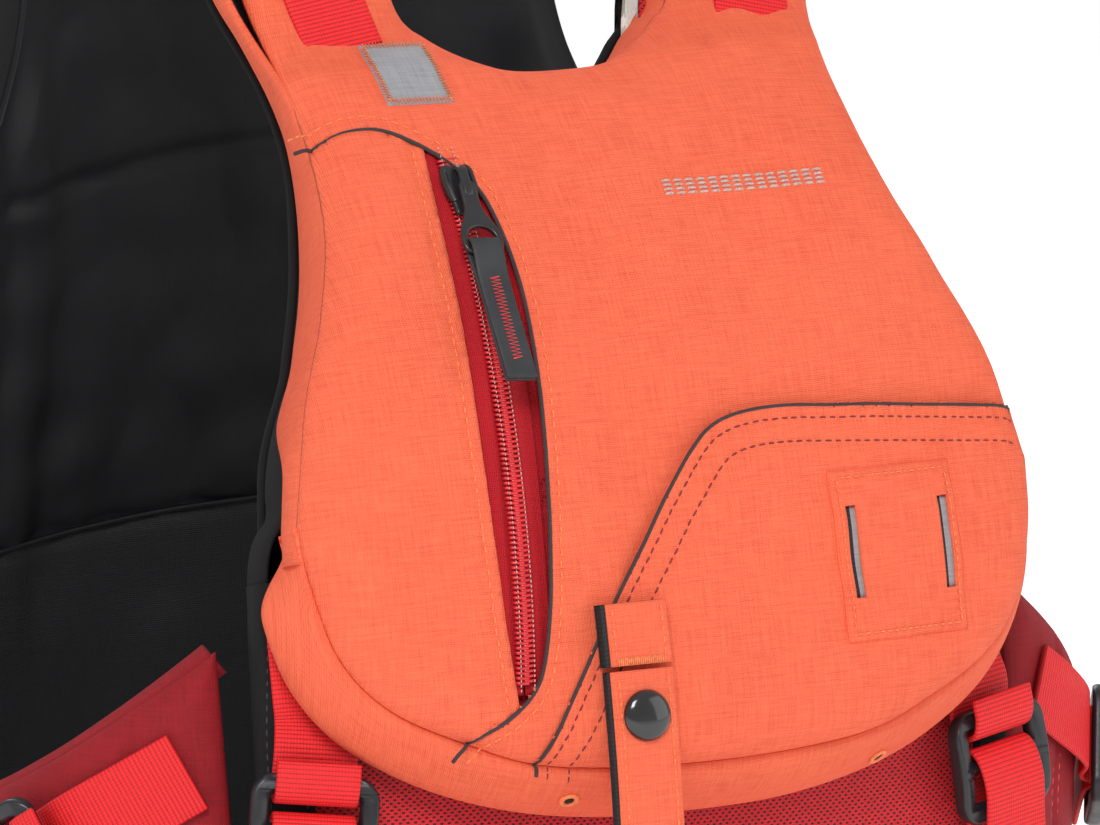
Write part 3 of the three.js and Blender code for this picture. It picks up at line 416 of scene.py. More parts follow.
# ---------- materials ----------
class Paint:
    """A Principled material with a few helpers for procedural detail."""

    def __init__(self, name, rough=0.7, sheen=0.0, metallic=0.0, specular=0.5, coat=0.0):
        self.material = bpy.data.materials.new(name)
        self.material.use_nodes = True
        self.tree = self.material.node_tree
        self.shader = self.tree.nodes["Principled BSDF"]
        self.set("Roughness", rough)
        self.set("Metallic", metallic)
        self.set("Specular IOR Level", specular)
        self.set("Sheen Weight", sheen)
        self.set("Sheen Roughness", 0.4)
        self.set("Coat Weight", coat)

    def set(self, socket, value):
        self.shader.inputs[socket].default_value = value

    def node(self, kind, links=(), **values):
        n = self.tree.nodes.new("ShaderNode" + kind)
        for key, value in values.items():
            if hasattr(n, key):
                setattr(n, key, value)
            else:
                n.inputs[key.replace("_", " ")].default_value = value
        for socket, source in dict(links).items():
            self.tree.links.new(source, n.inputs[socket])
        return n

    def math(self, operation, a, b=None, clamp=False):
        n = self.tree.nodes.new("ShaderNodeMath")
        n.operation, n.use_clamp = operation, clamp
        for i, v in enumerate((a, b)):
            if v is None:
                continue
            if isinstance(v, (int, float)):
                n.inputs[i].default_value = v
            else:
                self.tree.links.new(v, n.inputs[i])
        return n.outputs[0]

    def link(self, source, socket):
        self.tree.links.new(source, self.shader.inputs[socket])

    def cloth_uv(self):
        """The cloth's own directions, in millimetres."""
        uv = self.node("UVMap", uv_map="Cloth")
        split = self.node("SeparateXYZ", {"Vector": uv.outputs[0]})
        return uv.outputs[0], self.math("MULTIPLY", split.outputs[0], 1000.0), self.math("MULTIPLY",
            split.outputs[1], 1000.0)

    def noise(self, vector, scale, detail=3.0, rough=0.55, stretch=None):
        if stretch is not None:
            vector = self.node("Mapping", {"Vector": vector}, Scale=stretch).outputs[0]
        return self.node("TexNoise", {"Vector": vector}, Scale=scale, Detail=detail,
            Roughness=rough).outputs["Fac"]

    def object_space(self):
        return self.node("TexCoord").outputs["Object"]

    def ramp(self, factor, low, high, start=0.0, end=1.0):
        n = self.node("ValToRGB", {"Fac": factor})
        n.color_ramp.elements[0].color = (*low, 1)
        n.color_ramp.elements[1].color = (*high, 1)
        n.color_ramp.elements[0].position, n.color_ramp.elements[1].position = start, end
        return n.outputs[0]

    def bump(self, height, distance, strength=1.0, before=None):
        n = self.node("Bump", {"Height": height}, Strength=strength, Distance=distance)
        if before is not None:
            self.tree.links.new(before, n.inputs["Normal"])
        return n.outputs[0]


def shade(color, k):
    return tuple(min(1.0, c * k) for c in color)


def weave(name, color, period=0.78, rough=0.72, sheen=0.18, depth=0.00012, contrast=0.2, specular=0.35,
        slub=0.2, low=None, high=None):
    """Plain-woven cloth: over-and-under threads with uneven slubs along both directions; the thread crowns
    are painted lighter as painted highlight and the hollows darker as painted shade.
    """
    m = Paint(name, rough, sheen, specular=specular)
    m.set("Sheen Tint", (*shade(color, 1.6), 1))
    uv, u, v = m.cloth_uv()
    k = 2 * math.pi / period
    check = m.math("MULTIPLY", m.math("SINE", m.math("MULTIPLY", u, k)),
        m.math("SINE", m.math("MULTIPLY", v, k)))
    rise = m.math("POWER", m.math("ABSOLUTE", check), 0.5)
    warp = m.noise(uv, 1.0, 2.0, stretch=(1400, 90, 1))
    weft = m.noise(uv, 1.0, 2.0, stretch=(90, 1400, 1))
    broad = m.noise(m.object_space(), 22.0, 4.0)
    # the colour rises with the thread height: painted highlight on the crowns, painted shade between them;
    # the slubs and the warp-weft difference are the cloth's own tone
    tone = m.math("ADD", m.math("MULTIPLY", m.math("ADD", warp, weft), slub * 2),
        m.math("MULTIPLY", rise, contrast))
    tone = m.math("ADD", tone, m.math("MULTIPLY", check, contrast * 0.25))
    tone = m.math("ADD", tone, m.math("MULTIPLY", broad, 0.25))
    m.link(m.ramp(tone, low or shade(color, 0.42), high or shade(color, 1.28), slub + 0.05,
        slub * 3 + contrast + 0.12), "Base Color")
    height = m.math("ADD", rise, m.math("MULTIPLY", m.math("ADD", warp, weft), 0.8))
    m.link(m.bump(height, depth, 0.9), "Normal")
    return m.material


def webbing(name, color, rib=1.35, depth=0.00025):
    """Woven strap: ribs across, crossed by fine lengthwise cords, the raised ribs and cords painted lighter
    as painted highlight and the grooves darker as painted shade.
    """
    m = Paint(name, 0.62, 0.15, specular=0.4)
    m.set("Sheen Tint", (*shade(color, 1.5), 1))
    uv, u, v = m.cloth_uv()
    ribs = m.math("ABSOLUTE", m.math("SINE", m.math("MULTIPLY", v, math.pi / rib)))
    cords = m.math("ABSOLUTE", m.math("SINE", m.math("MULTIPLY", u, math.pi / 0.95)))
    both = m.math("MULTIPLY", m.math("POWER", ribs, 0.6),
        m.math("ADD", m.math("MULTIPLY", cords, 0.45), 0.55))
    fuzz = m.noise(uv, 1.0, 3.0, stretch=(500, 500, 1))
    # the rib and cord height also sets the colour: painted highlight on the crests, painted shade in the
    # grooves
    tone = m.math("ADD", m.math("MULTIPLY", both, 0.7), m.math("MULTIPLY", fuzz, 0.3))
    m.link(m.ramp(tone, shade(color, 0.45), shade(color, 1.15), 0.15, 0.85), "Base Color")
    m.link(m.bump(both, depth, 0.9), "Normal")
    return m.material


def perforated(name, color):
    """Knitted mesh with staggered rows of small oblong holes, the holes only painted near-black as painted
    shade seen through them.
    """
    m = Paint(name, 0.7, 0.15, specular=0.35)
    uv, u, v = m.cloth_uv()
    row = m.math("DIVIDE", v, 0.95)
    shift = m.math("MULTIPLY", m.math("MODULO", m.math("FLOOR", row), 2.0), 0.5)
    a = m.math("SUBTRACT", m.math("FRACT", m.math("ADD", m.math("DIVIDE", u, 2.1), shift)), 0.5)
    b = m.math("SUBTRACT", m.math("FRACT", row), 0.5)
    squared = lambda x, r: m.math("POWER", m.math("ABSOLUTE", m.math("DIVIDE", x, r)), 2.0)
    hole = m.math("ADD", squared(a, 0.26), squared(b, 0.34))
    knit = m.math("ABSOLUTE", m.math("SINE", m.math("MULTIPLY", u, math.pi / 0.52)))
    solid = m.ramp(hole, (0, 0, 0), (1, 1, 1), 0.75, 1.3)
    fuzz = m.noise(uv, 1.0, 3.0, stretch=(420, 420, 1))
    tone = m.math("ADD", m.math("MULTIPLY", knit, 0.35), m.math("MULTIPLY", fuzz, 0.65))
    base = m.ramp(tone, shade(color, 0.7), shade(color, 1.25), 0.25, 0.8)
    mixed = m.node("Mix", data_type="RGBA")
    m.tree.links.new(solid, mixed.inputs["Factor"])
    # the holes' colour: near-black painted shade, where the mesh is not cut through
    mixed.inputs[6].default_value = (*shade(color, 0.13), 1)
    m.tree.links.new(base, mixed.inputs[7])
    m.link(mixed.outputs[2], "Base Color")
    m.link(m.bump(solid, 0.0004, 0.8), "Normal")
    return m.material


def moulded(name, color, rough=0.42, grain=0.00006, scale=900.0, specular=0.5, metallic=0.0, coat=0.0):
    """Moulded plastic or enamel, with a fine grain and a little wear."""
    m = Paint(name, rough, 0, metallic, specular, coat)
    here = m.object_space()
    fine = m.noise(here, scale, 4.0)
    wear = m.noise(here, 60.0, 5.0)
    m.link(m.ramp(wear, shade(color, 0.8), tuple(c * 1.3 + 0.006 for c in color), 0.3, 0.75), "Base Color")
    m.link(m.ramp(m.noise(here, 140.0, 3.0), (rough * 0.8,) * 3, (min(1, rough * 1.25),) * 3, 0.3, 0.7),
        "Roughness")
    m.link(m.bump(fine, grain, 0.7), "Normal")
    return m.material


def thread(name, color):
    m = Paint(name, 0.6, 0.2)
    twist = m.noise(m.object_space(), 1500.0, 2.0)
    m.link(m.ramp(twist, shade(color, 0.7), shade(color, 1.25), 0.3, 0.7), "Base Color")
    m.link(m.bump(twist, 0.00008, 0.6), "Normal")
    return m.material


def foam_paint(name, color):
    m = Paint(name, 0.9)
    cells = m.node("TexVoronoi", {"Vector": m.object_space()}, Scale=900.0).outputs["Distance"]
    m.link(m.ramp(cells, shade(color, 0.8), color, 0.0, 0.6), "Base Color")
    m.link(m.bump(cells, 0.0002, 0.6), "Normal")
    return m.material


# the ends of the orange weave's ramp: high is the painted highlight on the thread crowns, low the painted
# shade between them
THREADS = {"period": 0.95, "contrast": 0.4, "slub": 0.26, "depth": 0.0002, "low": (0.62, 0.026, 0.009),
    "high": (0.97, 0.175, 0.08)}
ORANGE = weave("orange_cloth", (0.8, 0.07, 0.021), **THREADS)
TACK_ORANGE = weave("orange_patch_cloth", (0.8, 0.075, 0.023), **THREADS)
CRIMSON = weave("crimson_cloth", (0.3, 0.005, 0.011), period=0.8, slub=0.16)
TAPE = weave("zip_tape", (0.5, 0.006, 0.014), period=1.05, contrast=0.4, slub=0.1, depth=0.0002)
LINING = weave("black_lining", (0.004, 0.004, 0.0055), period=0.5, rough=0.42, sheen=0.0, contrast=0.1,
    specular=0.24, depth=0.00005)
LINING_DOTS = weave("black_lining_panel", (0.008, 0.0082, 0.0095), period=1.3, rough=0.45, sheen=0.0,
    contrast=0.6, specular=0.25, depth=0.00012)
STRETCH = weave("black_stretch_edge", (0.006, 0.006, 0.007), period=0.6, rough=0.85, sheen=0.08,
    contrast=0.15)
STRAP = webbing("red_webbing", (0.8, 0.012, 0.016))
BLACK_STRAP = webbing("black_webbing", (0.014, 0.014, 0.016))
MESH = perforated("crimson_mesh", (0.56, 0.012, 0.02))
PLASTIC = moulded("black_plastic", (0.012, 0.013, 0.016), 0.34, grain=0.00012, scale=420.0)
ZIP_METAL = moulded("black_zip_metal", (0.016, 0.016, 0.018), 0.3, metallic=0.2, coat=0.3)
SNAP = moulded("snap_enamel", (0.008, 0.008, 0.009), 0.16, grain=0.00001, coat=0.6)
STEEL = moulded("steel", (0.5, 0.5, 0.52), 0.3, metallic=1.0)
COIL = moulded("zip_coil", (0.55, 0.008, 0.014), 0.28, grain=0.00002, specular=0.6)
RUBBER = moulded("pull_strip_cloth", (0.022, 0.023, 0.026), 0.6, grain=0.00009, scale=1600.0)
PIPING = weave("grey_piping", (0.06, 0.045, 0.047), period=0.5)
LIGHT_THREAD = thread("light_orange_thread", (0.95, 0.2, 0.06))
DARK_THREAD = thread("dark_red_thread", (0.2, 0.01, 0.016))
RED_THREAD = thread("red_thread", (0.8, 0.04, 0.05))
BLACK_THREAD = thread("black_thread", (0.03, 0.03, 0.034))
PALE_THREAD = thread("pale_thread", (0.52, 0.36, 0.32))
GREY_CLOTH = weave("pale_patch_cloth", (0.36, 0.36, 0.38), period=0.55, rough=0.5, contrast=0.25)
FOAM = foam_paint("foam", (0.72, 0.7, 0.64))
HOLE = moulded("hole_shadow", (0.01, 0.004, 0.004), 0.9)


def cloth_sheet(piece):
    """Reads the area of each face of a piece and gives the piece back as it is."""
    areas = np.zeros(len(piece.data.polygons), np.float32)
    piece.data.polygons.foreach_get("area", areas)
    return piece


# ---------- shield: outlines as the front view shows them ----------
# the yoke's top end: its height, and where it starts and stops round the chest
YOKE_TOP = 402.0
NECK_CORNER_S, YOKE_S = 45.0, 98.0
YOKE = place(YOKE_S, YOKE_TOP, face_out(YOKE_TOP))[[0, 2]]
NECK_CORNER = place(NECK_CORNER_S, YOKE_TOP, face_out(YOKE_TOP))[[0, 2]]
SEAM_RIGHT = np.array([(0, 169), (50, 172), (78, 181), (100, 192), (113, 207), (119, 228), (121, 245)],
    float)
ARMHOLE = np.array([(121, 245), (113, 278), (102, 303), (92, 330), (88, 360), (91, 385), tuple(YOKE)],
    float)
NECKLINE = np.array([(0, 362.5), (16, 363.3), (27, 366.3), (37, 372.0), (43.5, 380.0),
    tuple(NECK_CORNER)], float)


def mirror(points):
    return (points * [-1, 1])[::-1]


def both_sides(points):
    return np.concatenate([mirror(points), points[1:]])


seam = track(both_sides(SEAM_RIGHT))
YOKE_SWAY = 6.5  # the wearer's left yoke leans outwards
arm_right = track(ARMHOLE + np.stack([YOKE_SWAY * smooth(345, 392, ARMHOLE[:, 1]), 0 * ARMHOLE[:, 1]], 1))
arm_left = track(ARMHOLE * [-1, 1])
neck = both_sides(NECKLINE)
neck[:, 0] += YOKE_SWAY * smooth(361, 392, neck[:, 1]) * (neck[:, 0] > 0)
neck_curve = spline(neck, np.linspace(0, 1, 200))
top_line = np.concatenate([[(-YOKE[0], YOKE[1])], neck_curve, [YOKE + [YOKE_SWAY, 0]]])
top = track(top_line, curved=False)
OUTLINE = np.concatenate([seam(np.linspace(0, 1, 90)), arm_right(np.linspace(0, 1, 30)),
    top(np.linspace(1, 0, 90)), arm_left(np.linspace(1, 0, 30))])

ZIP_LEFT = np.array([(-55.5, 346.5), (-57.7, 342), (-60.8, 322), (-62.6, 300), (-63.7, 284), (-64.5, 266),
    (-64.6, 240), (-64.2, 215), (-63.0, 195), (-62.5, 189)], float)
ZIP_RIGHT = np.array([(-97, 344), (-90, 346), (-80, 348.2), (-69, 348.2), (-59, 344), (-50.6, 338),
    (-44.9, 331), (-42.1, 319), (-41.4, 304), (-42.4, 288), (-44.0, 269), (-46.5, 244), (-49.6, 220),
    (-53.0, 204), (-57.2, 194.5), (-66, 187), (-78.2, 180.5), (-84, 176)], float)
POCKET = np.array([(116, 258.5), (107.7, 260.6), (80, 263.6), (53.9, 265.9), (36, 267.2), (20.8, 266.7),
    (10, 263.8), (2.7, 258.3), (-7.5, 247), (-17.9, 233.1), (-32.1, 212.9), (-43.5, 195), (-53.4, 178.5),
    (-58, 170)], float)
zip_left, zip_right, pocket_line = (spline(p, np.linspace(0, 1, 5 * len(p))) for p in (ZIP_LEFT,
    ZIP_RIGHT, POCKET))

LEFT_RAISE, MAIN_RAISE, TUCK_RAISE = 3.0, 3.6, 4.4


def stitch_dent(x, z, line, offset, depth=0.55, width=1.5):
    d, along = near(x, z, line)
    pucker = 1 + 0.5 * np.sin(along * 2 * np.pi / 7.0 + 2 * np.sin(along / 23))
    return -depth * pucker * np.exp(-(((d - offset) / width) ** 2))


def face_depth(x, z, kind):
    """How far the cloth of one panel of the face stands out at a place of the front view."""
    edge, _ = near(x, z, OUTLINE)
    _, h = seen(x, z)
    soft = roll(edge, 13.0)
    broad = 1.5 * ripple(x, z, 62, 3) + 0.6 * ripple(x, z, 24, 5) + 0.9 * np.maximum(0,
        ripple(x * 0.5 + z * 0.9, z * 0.3 - x * 0.6, 19, 7)) * smooth(345, 375, z)
    if kind == "left":
        broad = broad * (0.2 + 0.8 * smooth(5, 28, near(x, z, zip_left)[0]))
        lift = LEFT_RAISE + np.exp(-(((x + 88) / 16) ** 2)) + stitch_dent(x, z, zip_left, 3.2)
    elif kind == "band":
        lift, broad = np.full(np.shape(x), -0.9), 0.0
    elif kind == "tuck":
        d, _ = near(x, z, pocket_line)
        lift = TUCK_RAISE + 0.8 * smooth(4, 40, d) + stitch_dent(x, z, pocket_line, 3.4) + stitch_dent(x,
            z, pocket_line, 10.0, 0.45)
        inside = np.exp(-(((x + 23) / 16) ** 2)) * smooth(235, 215, z)
        lift = lift - 1.6 * inside
        broad = broad * (1 - 0.8 * inside)
    else:
        d, _ = near(x, z, zip_right)
        broad = broad * (0.2 + 0.8 * smooth(5, 28, d))
        p, _ = near(x, z, pocket_line)
        open_side = smooth(0, 14, p)
        lift = 1.2 + (MAIN_RAISE - 1.2) * np.exp(-((d / 20) ** 2)) + 1.6 * smooth(20, 60,
            d) * open_side * smooth(400, 340, z)
        lift = lift + stitch_dent(x, z, zip_right, 3.4)
    return face_out(h) - 5.2 * (1 - soft) + (lift + broad) * soft


def face_point(x, z, kind, rise=0.0):
    s, h = seen(x, z)
    return place(s, h, face_depth(x, z, kind) + rise), outward(s, h)


def side_of(x, z, line):
    """Above zero to the right of a line walked from its start, below zero to the left."""
    q = np.stack([np.ravel(x), np.ravel(z)], 1)
    best, sign = np.full(len(q), np.inf), np.zeros(len(q))
    for a, b in zip(line[:-1], line[1:]):
        d = b - a
        t = np.clip(((q - a) @ d) / max(d @ d, 1e-12), 0, 1)
        dist = np.linalg.norm(q - a - t[:, None] * d, axis=1)
        cross = (q[:, 0] - a[0]) * d[1] - (q[:, 1] - a[1]) * d[0]
        closer = dist < best - 1e-9
        best, sign = np.where(closer, dist, best), np.where(closer, np.sign(cross), sign)
    return sign.reshape(np.shape(x)) * best.reshape(np.shape(x))


def edged(count, fine=(0.0, 0.0025, 0.007, 0.014, 0.024)):
    """0..1 with extra steps near both ends."""
    middle = np.linspace(0.036, 0.964, count)
    return np.concatenate([fine, middle, 1 - np.array(fine[::-1])])


U, W = edged(190), edged(150)
FACE_XZ = coons(seam, top, arm_left, arm_right, U, W)


def snapped(xz, lines, reach=0.85):
    """Moves the grid's points that lie close to a line onto it, so that a panel's edge follows it."""
    out = xz.copy()
    for line in lines:
        q = out.reshape(-1, 2)
        best, target = np.full(len(q), np.inf), q.copy()
        for a, b in zip(line[:-1], line[1:]):
            d = b - a
            t = np.clip(((q - a) @ d) / max(d @ d, 1e-12), 0, 1)
            p = a + t[:, None] * d
            dist = np.linalg.norm(q - p, axis=1)
            closer = dist < best
            best = np.where(closer, dist, best)
            target[closer] = p[closer]
        near_it = best < reach
        q[near_it] = target[near_it]
    return out


FACE_XZ[1:-1, 1:-1] = snapped(FACE_XZ[1:-1, 1:-1], (zip_left, zip_right, pocket_line))
FX, FZ = FACE_XZ[..., 0], FACE_XZ[..., 1]
FS, FH = seen(FX, FZ)
FACE_UV = np.stack([FX, FH * 1.08], -1)
quads = grid_quads(*FX.shape)
centre_x, centre_z = FX.ravel()[quads].mean(1), FZ.ravel()[quads].mean(1)
right_of_main = side_of(centre_x, centre_z, zip_right)
right_of_left = side_of(centre_x, centre_z, zip_left)
in_tuck = side_of(centre_x, centre_z, pocket_line) < 0
IS_MAIN = right_of_main < 0
IS_LEFT = ~IS_MAIN & (right_of_left > 0)


def face_panel(name, kind, mask, material, thick=1.4, **more):
    depth = face_depth(FX, FZ, kind)
    out = outward(FS, FH)
    outer = skin(FS, FH) + out * depth[..., None]
    part = solid_sheet(outer, outer - out * thick, FACE_UV, quads[mask])
    return make(name, part, [material], slot="orange_fabric" if material is ORANGE else "red_fabric",
        **more)


def grid_normals(p):
    return unit(np.cross(np.gradient(p, axis=1), np.gradient(p, axis=0)))


def build_shield():
    pocket_edge, _ = near(centre_x, centre_z, pocket_line)
    main = face_panel("shield_main_cloth", "main", IS_MAIN & ~(in_tuck & (pocket_edge > 14)), ORANGE,
        nodes=("shield_face",))
    left = face_panel("chest_pocket_panel_cloth", "left", IS_LEFT, ORANGE, nodes=("chest_pocket_panel",))
    tuck = face_panel("tuck_pocket_cloth", "tuck", IS_MAIN & in_tuck, ORANGE, nodes=("lower_pocket_panel",))
    window = (centre_x > -74) & (centre_x < -34) & (centre_z > 184) & (centre_z < 349)
    band = face_panel("zip_facing", "band", window, TAPE, thick=0.8)
    cloth_sheet(main)
    cloth_sheet(left)
    cloth_sheet(tuck)
    cloth_sheet(band)


def build_shield_foam():
    step = (slice(None, None, 4), slice(None, None, 4))
    x, z = FX[step], FZ[step]
    middle = np.array([0.0, 262.0])
    x, z = middle[0] + (x - middle[0]) * 0.965, middle[1] + (z - middle[1]) * 0.965
    s, h = seen(x, z)
    edge, _ = near(x, z, OUTLINE)
    soft = roll(np.maximum(edge - 2, 0), 14)
    out = outward(s, h)
    high = face_out(h) - 6.0 * (1 - soft) - 2.4
    low = shield_in(h) + 1.0 + 0 * high
    low = np.minimum(low, high - 1.5)
    part = solid_sheet(skin(s, h) + out * high[..., None], skin(s, h) + out * low[..., None],
        np.stack([x, z], -1))
    foam = make("shield_foam", part, [FOAM], nodes=("shield_foam_core",), slot="foam")


RIM_RIGHT = np.array([(0, 150.5), (30, 151.5), (58, 156), (83, 164.5), (104, 177), (116.5, 192),
    (122.5, 209), (124, 226), (122, 244)], float)
rim_xz = track(both_sides(RIM_RIGHT))


def gusset_grid(columns=300, rows=30):
    u = np.linspace(0, 1, columns)
    rim_s, rim_h = seen(*rim_xz(u).T, depth=lambda h: shield_in(h) + 4)
    seam_s, seam_h = seen(*seam(u).T)
    fade = smooth(0.0, 0.085, u) * smooth(1.0, 0.915, u)
    rim_s, rim_h = seam_s + (rim_s - seam_s) * fade, seam_h + (rim_h - seam_h) * fade
    profile = spline([(0.55, 0.0, 0.8), (0.3, 0.0, 0.8), (0.08, 0.0, 0.9), (-0.02, 0.0, 3.0),
        (-0.03, 0.0, 6.5), (0.03, 0.12, 7.2), (0.2, 0.32, 6.6), (0.45, 0.56, 5.6), (0.7, 0.78, 4.2),
        (0.88, 0.92, 2.2), (1.0, 1.0, 0.0)], np.linspace(0, 1, rows))
    share, climb, rise = profile[:, :1], profile[:, 1:2], profile[:, 2:]
    s = rim_s + (seam_s - rim_s) * share
    h = rim_h + (seam_h - rim_h) * share
    depth = shield_in(h) * (1 - climb) + (face_out(h) - 5.2) * climb + rise
    taper = smooth(0.005, 0.1, u) * smooth(0.995, 0.9, u)
    rise = rise * (0.15 + 0.85 * taper)
    wave = 0.45 * ripple(s, h * 2, 34, 11) * np.sin(np.pi * np.linspace(0, 1, rows))[:, None]
    p = place(s, h, depth + wave)
    return p, s, h


def build_gusset():
    p, s, _ = gusset_grid()
    out = grid_normals(p)
    across = np.concatenate([np.zeros((1, p.shape[1])),
        np.cumsum(np.linalg.norm(np.diff(p, axis=0), axis=-1), axis=0)])
    uv = np.stack([s, across], -1)
    part = solid_sheet(p, p - out * 1.3, uv)
    rim = make("shield_gusset_cloth", part, [ORANGE], nodes=("shield_gusset",), slot="orange_fabric")
    cloth_sheet(rim)

    # embroidered drain eyelets in the gusset
    front = p[..., [0, 2]]
    parts = []
    for x, z in ((-41.5, 160.0), (62.4, 162.0)):
        best = np.unravel_index(np.argmin(np.linalg.norm(front - (x, z),
            axis=-1) + 40 * (np.arange(p.shape[0])[:, None] < 12)), front.shape[:2])
        at, n = p[best], out[best]
        side = unit(p[best[0], best[1] + 1] - at)
        up = np.cross(n, side)
        a = np.linspace(0, 2 * np.pi, 49)[:-1]
        ring = at + side * (2.3 * np.cos(a))[:, None] + up * (2.3 * np.sin(a))[:, None] + n * 0.15
        parts.append(tube(ring, np.repeat([n], len(a), 0), 0.75, 0, 8, closed=True))
        for k in range(0, 48, 2):
            spoke = np.stack([at + (side * math.cos(a[k]) + up * math.sin(a[k])) * r + n
                * 0.75 for r in (1.5, 2.3, 3.2)])
            spoke[[0, 2]] -= n * 0.5
            parts.append(tube(spoke, np.repeat([n], 3, 0), 0.17, 0, 5))
        disc = lathe([(0, 0.05), (1.7, 0.05), (1.75, 0.3), (0, 0.32)], 20, 1)
        m = np.eye(4)
        m[:3, 0], m[:3, 1], m[:3, 2], m[:3, 3] = side, up, n, at
        parts.append(moved(disc, m))
    make("drain_eyelets", joined(*parts), [LIGHT_THREAD, HOLE], slot="orange_fabric")


def along_face(line, kind, rise=0.0, step=1.2):
    line = resampled(np.asarray(line, float), max(3, int(lengths(np.asarray(line, float))[-1] / step)))
    return face_point(line[:, 0], line[:, 1], kind, rise)


def shifted_line(line, offset):
    """A line moved sideways: above zero to the right of the walk."""
    d = unit(np.gradient(line, axis=0))
    return line + np.stack([d[:, 1], -d[:, 0]], 1) * offset


def inside_outline(line, margin):
    edge, _ = near(line[:, 0], line[:, 1], OUTLINE)
    return line[(edge > margin)]


def build_face_trim():
    clean = resampled(zip_right, 260)
    body = inside_outline(clean, 4.0)
    centre, out = along_face(body, "main", -0.35)
    make("main_panel_piping", tube(centre, out, 0.62, count=8), [PIPING], slot="black_fabric")
    stitched = inside_outline(shifted_line(clean, -3.4), 3.0)
    centre, out = along_face(stitched, "main", 0.12)
    left = inside_outline(shifted_line(resampled(zip_left, 200)[6:], 3.3), 3.0)
    left_centre, left_out = along_face(left, "left", 0.12)
    make("zip_topstitch", joined(beads(centre, out), beads(left_centre, left_out)), [LIGHT_THREAD],
        slot="orange_fabric")

    pocket = inside_outline(resampled(pocket_line, 260), 3.2)
    centre, out = along_face(pocket, "tuck", -0.4)
    make("tuck_pocket_piping", tube(centre, out, 0.6, count=8), [PIPING], slot="black_fabric")
    rows = []
    for offset in (-3.4, -10.0):
        line = inside_outline(shifted_line(resampled(pocket_line, 260), offset), 3.0)
        centre, out = along_face(line, "tuck", 0.1)
        rows.append(beads(centre, out, 2.5, 0.8, 0.27))
    make("tuck_pocket_topstitch", joined(*rows), [DARK_THREAD], slot="orange_fabric")


# ---------- lash patch, snap tab, marks ----------
# the two slots of the lash patch, and how far its stitching stands in from its edge
LASH_SLOT_HALF_WIDTH, LASH_SLOT_HALF_HEIGHT = 1.9, 12.8
PATCH_STITCH_INSET = 2.4


def build_lash_patch():
    cx, cz, half_w, half_h = 65.6, 223.4, 21.0, 24.5
    nx, nz = 69, 67
    X, Z = np.meshgrid(np.linspace(cx - half_w, cx + half_w, nx), np.linspace(cz - half_h, cz + half_h, nz))
    slots = [(cx - 15.4, cz + 1), (cx + 15.8, cz + 1)]
    s, h = seen(X, Z)
    edge = np.minimum(half_w - np.abs(X - cx), half_h - np.abs(Z - cz))
    gape = sum(np.exp(-(((X - a) / 2.6) ** 2)) * smooth(16, 9, np.abs(Z - b)) for a, b in slots)
    depth = face_depth(X, Z, "tuck") + 1.5 * roll(edge,
        2.0) - 0.35 * np.exp(-(((edge - 2.4) / 0.9) ** 2)) + 0.5 * gape
    out = outward(s, h)
    outer = skin(s, h) + out * depth[..., None]
    inner = skin(s, h) + out * (face_depth(X, Z, "tuck") - 0.5)[..., None]
    q = grid_quads(nz, nx)
    mx, mz = X.ravel()[q].mean(1), Z.ravel()[q].mean(1)
    cut = np.zeros(len(q), bool)
    for a, b in slots:
        cut |= (np.abs(mx - a) < LASH_SLOT_HALF_WIDTH) & (np.abs(mz - b) < LASH_SLOT_HALF_HEIGHT)
    part = solid_sheet(outer, inner, np.stack([X, Z * 1.02], -1), q[~cut])
    patch = make("lash_patch_cloth", part, [TACK_ORANGE], nodes=("lash_patch",), slot="orange_fabric")
    cloth_sheet(patch)

    stitch, slot_shading = [], []
    w, t = half_w - PATCH_STITCH_INSET, half_h - PATCH_STITCH_INSET
    corners = np.array([(-w, -t), (w, -t), (w, t), (-w, t), (-w, -t)]) + (cx, cz)
    for a, b in zip(corners[:-1], corners[1:]):
        c, o = along_face(np.stack([a, b]), "tuck", 1.45)
        stitch.append(beads(c, o, 1.8, 0.7, 0.27))
    make("lash_patch_stitch", joined(*stitch), [LIGHT_THREAD], slot="orange_fabric")
    # under each slot lies a sheet painted near-black on its left half as painted shadow in the slot, and
    # pale grey on its right half as painted light on its lit side
    for a, b in slots:
        X, Z = np.meshgrid(np.linspace(a - 2.3, a + 2.3, 9), np.linspace(b - 13, b + 13, 20))
        s, h = seen(X, Z)
        d = face_depth(X, Z, "tuck") + 0.45
        o = outward(s, h)
        # kind 1, the left half, takes the black as painted shadow; kind 0 takes the grey as painted light
        kind = (X[:-1, :-1] < a - 0.1).ravel().astype(int)
        p, f, uv, _ = solid_sheet(skin(s, h) + o * d[..., None], skin(s, h) + o * (d - 0.8)[..., None],
            np.stack([X, Z], -1))
        n = (len(Z) - 1) * (X.shape[1] - 1)
        kinds = kind.tolist() * 2 + [0] * (len(f) - 2 * n)
        slot_shading.append((p, f, uv, kinds))
    make("lash_slot_painted_shadow_and_light", joined(*slot_shading), [GREY_CLOTH, BLACK_STRAP], slot="black_fabric")


